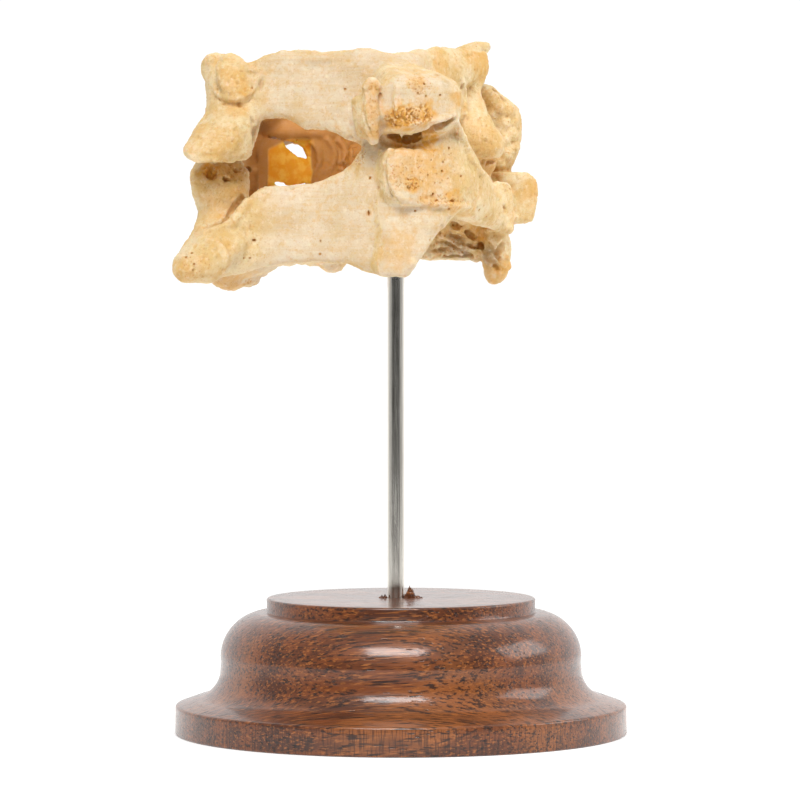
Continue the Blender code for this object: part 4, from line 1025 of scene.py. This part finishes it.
def painted(tree, name):
    """A value that the mesh holds at each vertex."""
    return node(tree, "Attribute", {"attribute_name": name}).outputs["Fac"]


def bone_material():
    """Old bone: pale cream on the laminae and yellow elsewhere, with ochre where it is worn, brown
    in its pits and pale on its edges. Painted shade darkens it in honey brown and ochre in its
    hollows, in the window between the bones and on a few shaded spots, and a painted orange glow,
    over real subsurface light, shows where it is thin enough for light to pass."""
    material, tree, shader = new_material("old_bone")
    where = place(tree)
    clouds = ranged(tree, noisy(tree, where, 4.0), 0.35, 0.65)
    lamina = mixed(tree, clouds, LAMINA_CREAM, LAMINA_PALE)
    cream = mixed(tree, painted(tree, "lined"), mixed(tree, clouds, BONE_YELLOW, BONE_PALE), lamina)
    flecks = ranged(tree, noisy(tree, where, 1.1, 4.0, 0.65), 0.46, 0.72, 0.0, 0.5)
    cream = mixed(tree, flecks, cream, HONEY)
    along = place(tree, (6.0, 6.0, 0.5))
    lines = noisy(tree, along, 1.0, 3.0, 0.6)
    streak = times(tree, painted(tree, "lined"), ranged(tree, lines, 0.4, 0.7, 0.0, 0.28))
    cream = mixed(tree, streak, cream, HONEY)
    # Ochre: real stains, wear and tone, with painted shade in the window and on a few shaded spots
    stain_and_shade_noise = ranged(tree, noisy(tree, where, 0.9), 0.25, 0.6, 0.45, 1.0)
    stain_and_shade = times(tree, painted(tree, "ochre"), stain_and_shade_noise)
    skin = mixed(tree, stain_and_shade, cream, OCHRE)
    skin = mixed(tree, painted(tree, "grey"), skin, GREY_BROWN)
    skin = mixed(tree, painted(tree, "pale"), skin, WHITE_EDGE)
    # Painted shade: honey brown in the hollows, in the window and on the shaded spots
    skin = mixed(tree, painted(tree, "hollow"), skin, HONEY_BROWN)
    skin = mixed(tree, painted(tree, "pit"), skin, PIT_BROWN)
    grains = ranged(tree, celled(tree, where, BONE_CELL), 0.1, 0.3, 1.0, 0.0)
    patches = ranged(tree, noisy(tree, where, 2.2), 0.44, 0.62)
    smooth = ranged(tree, painted(tree, "lined"), 0.0, 1.0, 1.0, 0.25)
    specks = times(tree, times(tree, grains, patches), smooth)
    skin = mixed(tree, times(tree, specks, 0.55), skin, OCHRE)
    dust = ranged(tree, noisy(tree, where, 0.24, 3.0, 0.6), 0.52, 0.75, 0.0, 0.35)
    skin = mixed(tree, dust, skin, HONEY_BROWN)
    chalk = ranged(tree, noisy(tree, place(tree, (1, 1, 1.4)), 0.6, 3.0, 0.6), 0.52, 0.75, 0.0, 0.3)
    lit = ranged(tree, painted(tree, "hollow"), 0.0, 0.4, 1.0, 0.0)
    skin = mixed(tree, times(tree, chalk, lit), skin, WHITE_EDGE)
    # Painted glow on the thin plate, orange and yellow with a mottle, over real subsurface light
    glow = painted(tree, "thin")
    mottle = ranged(tree, noisy(tree, where, 1.3, 4.0, 0.6), 0.4, 0.62)
    plate = mixed(tree, mottle, PLATE_GLOW_ORANGE, PLATE_GLOW_YELLOW)
    skin = mixed(tree, glow, skin, plate)
    rough = ranged(tree, noisy(tree, where, 1.0), 0.3, 0.7, 0.5, 0.68)
    through = ranged(tree, glow, 0.0, 1.0, 0.3, 1.0)
    feed(tree, shader, Base_Color=skin, Roughness=rough, Subsurface_Weight=through)
    feed(tree, shader, Subsurface_Radius=(1.0, 0.5, 0.2), Subsurface_Scale=GLOW_DEPTH)
    feed(tree, shader, Specular_IOR_Level=0.35)
    grit = noisy(tree, where, 0.28, 4.0, 0.65)
    fine = times(tree, grit, ranged(tree, smooth, 0.0, 1.0, 0.35, 1.0))
    dents = times(tree, specks, -0.8)
    stripes = times(tree, times(tree, lines, painted(tree, "lined")), 0.3)
    height = sums(tree, "ADD", sums(tree, "ADD", fine, dents), stripes)
    feed(tree, shader, Normal=bumped(tree, height, 0.7, BONE_GRAIN_DEPTH))
    return material


def wood_material():
    """Varnished brown wood whose grain and open pores run from left to right."""
    material, tree, shader = new_material("varnished_wood")
    bent = node(tree, "Mapping", Vector=place(tree), Rotation=(0, 0.05, 0.08)).outputs["Vector"]

    def along(length):
        return node(tree, "Mapping", Vector=bent, Scale=(1 / length, 1, 1)).outputs["Vector"]

    rings = noisy(tree, along(9), 2.6, 3.0, 0.55)
    base = mixed(tree, ranged(tree, rings, 0.4, 0.6), WOOD_MID, WOOD_LIGHT)
    broad = noisy(tree, along(2), 9.0, 2.0, 0.5)
    base = mixed(tree, ranged(tree, broad, 0.5, 0.68, 0.0, 0.5), base, WOOD_GOLD)
    fibres = noisy(tree, along(22), 0.4, 4.0, 0.65)
    base = mixed(tree, ranged(tree, fibres, 0.5, 0.6, 0.0, 0.9), base, WOOD_DARK)
    bright = noisy(tree, along(14), 0.3, 4.0, 0.6)
    base = mixed(tree, ranged(tree, bright, 0.52, 0.66, 0.0, 0.9), base, WOOD_GOLD)
    height_in_mm = node(tree, "SeparateXYZ", Vector=place(tree)).outputs["Z"]
    on_rim = ranged(tree, height_in_mm, RIM_HEIGHT - 0.6, RIM_HEIGHT, 1.0, 0.0)
    rays = ranged(tree, noisy(tree, place(tree, (1, 1, 12)), 0.26, 2.0), 0.48, 0.62, 0.0, 0.6)
    base = mixed(tree, times(tree, rays, on_rim), base, WOOD_DARK)
    vessels = ranged(tree, celled(tree, along(8), WOOD_VESSEL), 0.16, 0.28, 1.0, 0.0)
    pores = times(tree, vessels, ranged(tree, noisy(tree, along(3), 1.8), 0.4, 0.56))
    base = mixed(tree, times(tree, pores, 0.78), base, WOOD_PORE)
    rough = ranged(tree, pores, 0.0, 1.0, 0.4, 0.65)
    feed(tree, shader, Base_Color=base, Roughness=rough, Specular_IOR_Level=0.25)
    feed(tree, shader, Coat_Weight=0.68, Coat_Roughness=0.13)
    height = sums(tree, "SUBTRACT", times(tree, fibres, 0.6), pores)
    feed(tree, shader, Normal=bumped(tree, height, 0.7, WOOD_GRAIN_DEPTH))
    feed(tree, shader, Coat_Normal=bumped(tree, height, 0.6, VARNISH_DEPTH))
    return material


def steel_material():
    """Drawn steel rod with faint lines along it."""
    material, tree, shader = new_material("drawn_steel")
    lines = noisy(tree, place(tree, (1, 1, 60)), 0.12, 3.0, 0.6)
    base = mixed(tree, ranged(tree, lines, 0.3, 0.7), STEEL_DARK, STEEL_LIGHT)
    rough = ranged(tree, lines, 0.3, 0.7, 0.14, 0.24)
    feed(tree, shader, Base_Color=base, Roughness=rough, Metallic=1.0)
    feed(tree, shader, Normal=bumped(tree, lines, 0.12, STEEL_LINE_DEPTH))
    return material


def floor_material():
    """A plain pale floor."""
    material, tree, shader = new_material("pale_floor")
    shade = ranged(tree, noisy(tree, place(tree), 40.0), 0.3, 0.7)
    feed(tree, shader, Base_Color=mixed(tree, shade, FLOOR_A, FLOOR_B), Roughness=0.8)
    feed(tree, shader, Emission_Color=(1, 1, 1, 1), Emission_Strength=FLOOR_GLOW)
    return material


def studio():
    """Soft white light all round, darker behind the camera, with a softbox over it and one at
    the right."""
    bpy.context.scene.view_settings.view_transform = "Standard"
    world = bpy.data.worlds.new("studio")
    bpy.context.scene.world = world
    world.use_nodes = True
    tree = world.node_tree
    lit = tree.nodes["Background"]
    side = node(tree, "SeparateXYZ", Vector=node(tree, "TexCoord").outputs["Generated"])
    front = ranged(tree, side.outputs["Y"], -0.75, -0.25, 1.0, 0.0)
    low = ranged(tree, side.outputs["Z"], 0.3, 0.6, 1.0, 0.0)
    dark = times(tree, front, low)
    behind = ranged(tree, side.outputs["Y"], 0.05, 0.6)
    around = mixed(tree, behind, WORLD_SIDES, WORLD_BEHIND)
    tree.links.new(mixed(tree, dark, around, WORLD_DARK), lit.inputs["Color"])
    seen = node(tree, "LightPath").outputs["Is Camera Ray"]
    plain = node(tree, "Background", Color=(1, 1, 1, 1), Strength=1.05)
    both = node(tree, "MixShader", i0=seen, i1=lit.outputs[0], i2=plain.outputs[0])
    tree.links.new(both.outputs[0], tree.nodes["World Output"].inputs["Surface"])
    for name, spot, size, watts in SOFTBOXES:
        data = bpy.data.lights.new(name, "AREA")
        data.shape = "RECTANGLE"
        data.size, data.size_y = size
        data.energy = watts
        lamp = bpy.data.objects.new(name, data)
        bpy.context.scene.collection.objects.link(lamp)
        lamp.location = spot
        aim = Vector(LIT_SPOT) - Vector(spot)
        lamp.rotation_euler = aim.to_track_quat("-Z", "Y").to_euler()


def make_floor():
    """The floor under the foot."""
    shape = bmesh.new()
    bmesh.ops.create_circle(shape, cap_ends=True, segments=64, radius=FLOOR_RADIUS)
    floor = object_from("floor", shape)
    floor.location = (0, 0, -FLOOR_DROP)
    floor.data.materials.append(floor_material())


def arc(centre, radius, start, end, steps):
    """Points along an arc, with its angles in degrees from +X."""
    points = []
    for k in range(steps + 1):
        angle = math.radians(start + (end - start) * k / steps)
        points.append((centre[0] + radius * math.cos(angle), centre[1] + radius * math.sin(angle)))
    return points


def foot_profile():
    """The outer side of the foot from the middle of its top down to the middle of its underside."""
    step_foot = FOOT_HEIGHT - STEP_HEIGHT
    profile = [(radius, FOOT_HEIGHT) for radius in TOP_RINGS]
    profile += arc((STEP_RADIUS - STEP_ROUNDING, FOOT_HEIGHT - STEP_ROUNDING), STEP_ROUNDING, 90, 0, 6)
    profile += [(STEP_RADIUS, step_foot + 0.15), (STEP_RADIUS + 0.1, step_foot - 0.02)]
    profile += arc(SHOULDER_CENTRE, SHOULDER_ROUNDING, 80, 2, 28)
    profile += [WAIST]
    profile += arc(COVE_CENTRE, COVE_RADIUS, 180, 262, 26)
    profile += arc((FOOT_RADIUS - RIM_ROUNDING, RIM_HEIGHT - RIM_ROUNDING), RIM_ROUNDING, 80, 0, 6)
    profile += arc((FOOT_RADIUS - UNDERSIDE_BEVEL, UNDERSIDE_BEVEL), UNDERSIDE_BEVEL, 0, -90, 5)
    return profile + [(radius, 0) for radius in UNDERSIDE_RINGS]


def turned(name, profile, sides):
    """A profile turned once round the z axis."""
    shape = bmesh.new()
    points = [shape.verts.new((radius, 0, height)) for radius, height in profile]
    for a, b in zip(points, points[1:]):
        shape.edges.new((a, b))
    made = object_from(name, shape)
    turn = made.modifiers.new("turn", "SCREW")
    turn.steps = sides
    turn.render_steps = sides
    turn.use_merge_vertices = True
    turn.merge_threshold = 0.0001
    applied(made)
    return made


def add_post(shape, radius, low, high):
    """An upright cylinder on the rod's axis."""
    placed = Matrix.Translation((ROD_X, ROD_Y, (low + high) / 2))
    size = {"radius1": radius, "radius2": radius, "depth": high - low}
    bmesh.ops.create_cone(shape, segments=ROD_SIDES, cap_ends=True, matrix=placed, **size)


def splinters(shape):
    """Torn wood that stands up beside the rod, as bundles of pointed fibres."""
    draw = random.Random(4)
    for x, y, wide, tall, lean, count in SPLINTERS:
        for _ in range(count):
            share = draw.uniform(-1, 1)
            height = tall * (1 - 0.75 * abs(share)) * draw.uniform(0.7, 1.0)
            foot = Vector((x + share * wide, y + draw.uniform(-0.25, 0.25), FOOT_HEIGHT - 0.4))
            aside = lean * height * draw.uniform(0.5, 1.2)
            tip = foot + Vector((aside, draw.uniform(-0.2, 0.2), height + 0.4))
            middle = foot.lerp(tip, 0.6) + Vector((draw.uniform(-0.1, 0.1), 0, 0))
            add_strut(shape, [(*foot, 0.26), (*middle, 0.2), (*tip, 0.03)], sides=6, between=2)


def shaded(thing):
    """Shades round pieces smooth and keeps their corners sharp."""
    thing.data.shade_smooth()
    thing.data.set_sharp_from_angle(angle=math.radians(SHARP_ANGLE))


def finished(thing, material, slot, *nodes):
    """Gives a piece its material, and puts it in the place of its CAD nodes."""
    thing.data.materials.clear()
    thing.data.materials.append(material)
    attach(thing, "root")
    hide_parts(*nodes)


def make_foot():
    """The wooden foot."""
    foot = turned("wooden_foot", foot_profile(), FOOT_SIDES)
    torn = built("torn", splinters)
    skinned(torn, SPLINTER_VOXEL, 1)
    boolean(foot, torn, "UNION")
    socket = bmesh.new()
    add_post(socket, ROD_RADIUS + ROD_CLEARANCE, FOOT_HEIGHT - ROD_SINK, FOOT_HEIGHT + 4)
    boolean(foot, object_from("foot_socket", socket), "DIFFERENCE")
    foot.data.transform(Matrix.Scale(MM, 4))
    shaded(foot)
    finished(foot, wood_material(), "wood", "stand_base")


def make_rod():
    """The steel rod, from inside the foot up into the lower bone."""
    low, high = FOOT_HEIGHT - ROD_SINK + ROD_GAP_BELOW, BONE_Z + ROD_TOP_IN_BONE
    round_x = ROD_RADIUS - ROD_ROUNDING
    profile = [(0, high), *arc((round_x, high - ROD_ROUNDING), ROD_ROUNDING, 90, 0, 5)]
    profile += [(ROD_RADIUS, low + (high - low) * k / ROD_RINGS) for k in range(ROD_RINGS - 1, 0, -1)]
    profile += [*arc((round_x, low + ROD_ROUNDING), ROD_ROUNDING, 0, -90, 5), (0, low)]
    rod = turned("steel_rod", profile, ROD_SIDES)
    rod.data.transform(Matrix.Translation((ROD_X, ROD_Y, 0)))
    rod.data.transform(Matrix.Scale(MM, 4))
    shaded(rod)
    finished(rod, steel_material(), "steel", "stand_rod")


def whole_bone(name, builder, breaks):
    """One bone as one skin, with the holes through it."""
    bone = built(name, builder)
    skinned(bone, VOXEL, SMOOTHING)
    moved(bone.data, noise_array(point_array(bone.data), LUMP_LENGTH) * LUMP_HEIGHT)
    boolean(bone, built("canal", canal), "DIFFERENCE")
    cutter = built("breaks", breaks)
    skinned(cutter, FINE_VOXEL, 0)
    boolean(bone, cutter, "DIFFERENCE")
    return bone


def swollen(bone, by):
    """A copy of a bone with every point moved out by a distance."""
    copy = bpy.data.objects.new(bone.name + "_swollen", bone.data.copy())
    bpy.context.scene.collection.objects.link(copy)
    moved(copy.data, np.full(len(copy.data.vertices), by))
    return copy


def open_joint(shape):
    """The block of space round the left joint."""
    centre, size = OPEN_JOINT
    bmesh.ops.create_cube(shape, matrix=Matrix.Translation(centre) @ Matrix.Diagonal((*size, 1)))


def fused_bones():
    """Both bones grown together, but for the joint between them on the left."""
    upper = whole_bone("upper", upper_bone, upper_breaks)
    lower = whole_bone("fused_vertebrae", lower_bone, lower_breaks)
    apart = swollen(upper, JOINT_GAP)
    boolean(apart, built("open_joint", open_joint), "INTERSECT")
    boolean(lower, apart, "DIFFERENCE")
    joined(lower, upper)
    joined(lower, built("front_growth", front_growth))
    skinned(lower, VOXEL, 2)
    keep_largest(lower)
    return lower


def draped(sight, pixels, lift):
    """Runs of points over the surface that the camera sees at those pixels, raised by lift. A new
    run starts where the surface falls away behind an edge."""
    runs, last = [[]], None
    for x, y, radius in pixels:
        found = sight.at(x, y)
        if not found:
            runs.append([])
            last = None
            continue
        if last and (found[0] - last[0]).length > LARGEST_JUMP * math.hypot(x - last[1], y - last[2]):
            runs.append([])
        runs[-1].append((*(found[0] + found[1] * lift), radius))
        last = (found[0], x, y)
    return [run for run in runs if len(run) > 1]


def laid_bars(sight, rows):
    """Thin bars laid over the skin where the photograph shows a ridge, an edge or a groove. A row
    has how far its bar stands out, then its pixels."""

    def build(shape):
        for lift, pixels in rows:
            for run in draped(sight, pixels, lift):
                add_strut(shape, run, sides=10, between=6)

    return build


def chips(sight):
    """Small bites out of the broken edges."""
    draw = random.Random(23)

    def build(shape):
        for edge in CHIPPED:
            for (x1, y1), (x2, y2) in zip(edge, edge[1:]):
                count = max(1, int(math.hypot(x2 - x1, y2 - y1) / CHIP_STEP))
                for k in range(count):
                    x = x1 + (x2 - x1) * k / count + draw.uniform(-1, 1)
                    y = y1 + (y2 - y1) * k / count + draw.uniform(-1.5, 1.5)
                    size = draw.uniform(0.08, 0.3) * draw.choice((1, 1, 1, 1.5))
                    found = sight.at(x, y)
                    if found:
                        radii = (size * draw.uniform(0.8, 1.6), size, size * draw.uniform(0.8, 1.3))
                        add_aimed_ball(shape, found[0], found[1], radii, draw.uniform(0, 180))

    return build


def seen_lumps(sight):
    """Rounded lumps half sunk in the skin."""

    def build(shape):
        for point, normal, radius in sight.seen(NODULES):
            add_ball(shape, point - normal * radius * 0.45, (radius, radius, radius))

    return build


def hollow_bars(sight):
    """The bars that span the hollow, anchored in the skin on both sides of it."""

    def build(shape):
        for x1, y1, x2, y2, radius in BARS:
            for start, end in draped(sight, ((x1, y1, radius), (x2, y2, radius)), -0.5):
                middle = (np.array(start) + np.array(end)) / 2
                add_strut(shape, [start, (*middle[:3], radius * 0.8), end], sides=8, between=4)

    return build


def front_growth(shape):
    """Uneven rims on the fronts of both bodies, and new bone in the corners of the window between
    them. The photograph doesn't show this side."""
    draw = random.Random(5)
    for floor, top in (UPPER_BODY, LOWER_BODY):
        for height in (floor + 0.7, top - 0.7):
            for k in range(FRONT_KNOBS):
                angle = math.radians(draw.uniform(4, 176))
                x = BODY_HALF_WIDTH * 0.93 * math.cos(angle)
                out = 0.9 + draw.uniform(-0.04, 0.05)
                y = BODY_Y + BODY_HALF_DEPTH * out * math.sin(angle) ** 0.8
                size = draw.uniform(0.7, 1.5)
                z = height + draw.uniform(-0.5, 0.5)
                radii = (size * 1.4, size, size * 0.8)
                add_ball(shape, (x, y, z), radii, (0, 0, math.degrees(angle) - 90))
    for x, y, z, size in WINDOW_CORNERS:
        add_ball(shape, (x, y, z), (size * 1.3, size * 1.5, size))


def crisp_stub(shape):
    """The squared end of the lower right transverse process, with its corners still sharp."""
    add_column(shape, [
        (27.6, 3.0, -0.6, 2.4, 2.4, 0), (28.1, 3.0, -1.2, 2.9, 2.7, 0), (28.5, 3.0, -2.2, 3.2, 2.8, 0),
        (28.5, 3.0, -4.4, 3.2, 2.8, 0), (28.3, 3.0, -7.4, 2.8, 2.6, 0), (28.1, 3.0, -7.9, 2.5, 2.3, 0),
    ], squareness=8, sides=48)


def aimed_balls(sight, rows):
    """An ellipsoid for each hole in the photograph, set in the skin and turned to face out."""

    def build(shape):
        for point, normal, wide, tall, depth, tilt in sight.seen(rows):
            add_aimed_ball(shape, point, normal, (wide / 2, tall / 2, depth), tilt)

    return build


def add_aimed_ball(shape, centre, normal, radii, tilt=0.0):
    """An ellipsoid whose third radius points along a surface's normal, and its second one up."""
    up = Vector((0, 0, 1))
    forward = normal.normalized()
    right = up.cross(forward).normalized() if abs(forward.z) < 0.95 else Vector((1, 0, 0))
    top = forward.cross(right)
    turn = Matrix((right, top, forward)).transposed().to_4x4()
    turn = turn @ Matrix.Rotation(math.radians(tilt), 4, "Z")
    placed = Matrix.Translation(centre) @ turn @ Matrix.Diagonal((*radii, 1))
    bmesh.ops.create_icosphere(shape, subdivisions=2, radius=1, matrix=placed)


def pores(sight, taken):
    """Hundreds of fine pores, in the broken, spongy places that the photograph shows. No two of
    them touch. The list takes each one's place and radius."""
    draw = random.Random(11)

    def free(point, radius):
        return all((point - other).length > radius + size + 0.05 for other, size in taken)

    def build(shape):
        for x, y, wide, tall, count, smallest, largest in SPONGY:
            for _ in range(count):
                angle, out = draw.uniform(0, 2 * math.pi), math.sqrt(draw.random())
                spot = (x + wide * out * math.cos(angle), y + tall * out * math.sin(angle))
                found = sight.at(*spot)
                radius = draw.uniform(smallest, largest)
                if found and free(found[0], radius):
                    taken.append((found[0], radius))
                    stretch = draw.uniform(0.8, 1.5)
                    radii = (radius * stretch, radius, radius * draw.uniform(0.4, 0.8))
                    add_aimed_ball(shape, found[0], found[1], radii, draw.uniform(0, 180))

    return build


def spot_share(points, sight, spots, full, ragged=0.0):
    """How strongly spots in the photograph cover each point: wholly up to that part of a spot's
    radius, and not at all past its ragged edge."""
    share = np.zeros(len(points))
    for point, _, radius, most in sight.seen(spots):
        away = np.linalg.norm(points - np.array(point), axis=1) / radius + ragged
        share = np.maximum(share, most * ramp(-away, -1.0, -full))
    return share


def surface_detail(skin, sight):
    """The swell, grain, coarse patches and worn edges of the skin, as real height."""
    mesh = skin.data
    points, normals = point_array(mesh), normal_array(mesh)
    edges = edge_array(mesh)
    lined = lamina_share(points, normals)
    rough = 1 - 0.65 * lined
    grain = noise_array(points, 1.2) * 0.09 + noise_array(points, 0.45, shift=7.0) * 0.06
    rise = rough * grain
    rise += lined * noise_array(points, 0.35, 2, (9, 9, 1), 3.0) * 0.02
    dimples = noise_array(points, 0.75, 2, shift=53.0)
    rise -= rough * ramp(dimples, 0.3, 0.6) * 0.12
    coarse = spot_share(points, sight, ROUGH, 0.5)
    rise -= coarse * ramp(noise_array(points, 0.5, 2, shift=101.0), 0.0, 0.3) * 0.32
    rise += coarse * noise_array(points, 0.3, 2, shift=11.0).clip(0) * 0.1
    in_front = ramp(points[:, 1], 12.0, 17.0)
    worn = noise_array(points, 3.4, 3, shift=71.0) * 0.55 + noise_array(points, 1.5, shift=5.0) * 0.15
    rise += in_front * worn
    sharp = ramp(spread(bulge(mesh, 6), edges, 2), 0.04, 0.14)
    rise -= sharp * (noise_array(points, 0.7, 3, shift=19.0) + 0.25).clip(0) * 0.4
    moved(mesh, rise)


def lamina_share(points, normals):
    """1 on the smooth, lined backs of the laminae, and 0 elsewhere."""
    behind = ramp(-normals[:, 1], 0.2, 0.6)
    inside = ramp(-np.abs(points[:, 0] + 4.0), -14.0, -9.0)
    return behind * inside


def window_shade_share(points):
    """1 inside the window between the bones, round the canal's front, where the bone gets painted
    shade, and 0 elsewhere.
    """
    x, y, z = points.T
    share = ramp(y, 1.0, 6.0) * ramp(-np.abs(x), -13.5, -10.5) * ramp(-y, -16.5, -12.5)
    return share * ramp(z, -12.5, -10.5)


# The thin share marks where the plate gets a painted glow
def plate_share(points):
    """1 on the thin plate, under its sloping top edge, and 0 elsewhere."""
    x, y, z = points.T
    share = ramp(y, 7.6, 8.6) * ramp(-y, -11.0, -10.2) * ramp(-np.abs(x + 4.6), -3.5, -3.2)
    top = np.minimum(2.6 + 0.48 * (x + 7.8), 4.0)
    return share * (ramp(z, -4.2, -3.6) * ramp(top - z, -0.3, 0.3))


def nearest_share(points, centres, reach):
    """1 at the centre of the nearest of many spots, and 0 at its reach times its radius or further."""
    tree = kdtree.KDTree(len(centres))
    for k, (centre, _) in enumerate(centres):
        tree.insert(centre, k)
    tree.balance()
    share = np.zeros(len(points))
    for k, point in enumerate(points.tolist()):
        _, which, away = tree.find(point)
        share[k] = away / centres[which][1]
    return ramp(-share, -reach, -0.6)


def coloured_by_shape(skin, sight, holes):
    """Works out where the bone is ochre, grey, pale, pitted, lined and thin, where painted shade goes
    in its hollows, in the window and on a few shaded spots, some of it as ochre, and where the
    thin plate gets a painted glow, and keeps those values at each vertex for the material."""
    mesh = skin.data
    points, normals, edges = point_array(mesh), normal_array(mesh), edge_array(mesh)
    wide = spread(bulge(mesh, 30), edges, 6)
    near = spread(bulge(mesh, 5), edges, 1)
    pale = ramp(near, 0.015, 0.08) * 0.5
    # Painted shade, stronger where the surface is more hollow, at a broad and a near scale
    hollow = ramp(-wide, 0.05, 0.35) * 0.7 + ramp(-near, 0.015, 0.09) * 0.4
    ragged = noise_array(points, 1.1, 3, shift=31.0) * 0.35
    # The third list of spots is painted shade on a shaded wall, not a stain
    ochre, grey, sunk = (
        spot_share(points, sight, spots, 0.35, ragged)
        for spots in (OCHRE_STAINS_AND_SHADE, GREY_STAINS, PAINTED_SHADE_SPOTS)
    )
    pit = np.zeros(len(points))
    for point, normal, wide_pit, tall, depth, _ in sight.seen(PITS):
        radius = max(wide_pit, tall) / 2
        inner = np.array(point - normal * depth * 0.5)
        away = np.linalg.norm(points - inner, axis=1)
        pit = np.maximum(pit, ramp(-away, -max(radius, depth) * 1.05, -radius * 0.5))
    pit = np.maximum(pit, 0.7 * nearest_share(points, holes, 1.5))
    coarse = spot_share(points, sight, ROUGH, 0.5)
    pit = np.maximum(pit, coarse * ramp(-near, 0.0, 0.05))
    inside, thin = window_shade_share(points), plate_share(points)
    broad = noise_array(points, 5.0, 3, shift=43.0)
    lined = lamina_share(points, normals)
    # The window's share of ochre is painted shade; the coarse and broad shares are real wear and tone
    for worn in (coarse * 0.5, ramp(broad, 0.15, 0.55) * 0.35 * (1 - lined), inside * 0.5):
        ochre = np.maximum(ochre, worn)
    # The hollow share is all painted shade: the hollows, the shaded spots and the window
    hollow = np.maximum(np.maximum(hollow, sunk), inside * 0.75).clip(0, 1)
    painted_values = {
        "ochre": ochre,
        "grey": grey,
        "pit": pit,
        "pale": pale * (1 - ochre * 0.5),
        "hollow": hollow * (1 - thin),
        "lined": lined,
        "thin": thin,
    }
    for name, values in painted_values.items():
        layer = mesh.attributes.new(name, "FLOAT", "POINT")
        layer.data.foreach_set("value", values.astype(np.float32))


def make_bones(camera):
    """The fused vertebrae as one skin in the place of all their CAD nodes."""
    bones = fused_bones()
    sight = Sight(camera, bones.data)
    raised = built("ridges", laid_bars(sight, RIDGES), seen_lumps(sight))
    grooves = laid_bars(sight, [(0.0, pixels) for pixels in CREASES])
    hollows = built("hollows", aimed_balls(sight, HOLLOWS), grooves, chips(sight))
    shell = laid_bars(sight, [(SHELL_LIFT, SHELL)])
    bars = built("bars", shell, hollow_bars(sight), thin_plate, crisp_stub)
    skinned(hollows, HOLLOW_VOXEL, 0)
    joined(bones, raised)
    skinned(bones, FINE_VOXEL, 0)
    boolean(bones, hollows, "DIFFERENCE")
    joined(bones, bars)
    skinned(bones, FINE_VOXEL, 1)
    keep_largest(bones)
    surface_detail(bones, Sight(camera, bones.data))
    sight = Sight(camera, bones.data)
    boolean(bones, built("pits", aimed_balls(sight, PITS)), "DIFFERENCE")
    holes = []
    boolean(bones, built("pores", pores(sight, holes)), "DIFFERENCE")
    shape = bmesh.new()
    add_post(shape, ROD_RADIUS + ROD_CLEARANCE, 0, BONE_Z + ROD_TOP_IN_BONE + 0.1)
    shape.transform(in_bones() @ Matrix.Scale(MM, 4))
    boolean(bones, object_from("bone_socket", shape), "DIFFERENCE")
    keep_largest(bones)
    coloured_by_shape(bones, sight, holes)
    bones.data.transform(in_bones().inverted())
    bones.data.shade_smooth()
    nodes = [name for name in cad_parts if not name.startswith("stand_")]
    finished(bones, bone_material(), "bone", *nodes)


camera = make_camera()
studio()
make_floor()
make_foot()
make_rod()
make_bones(camera)
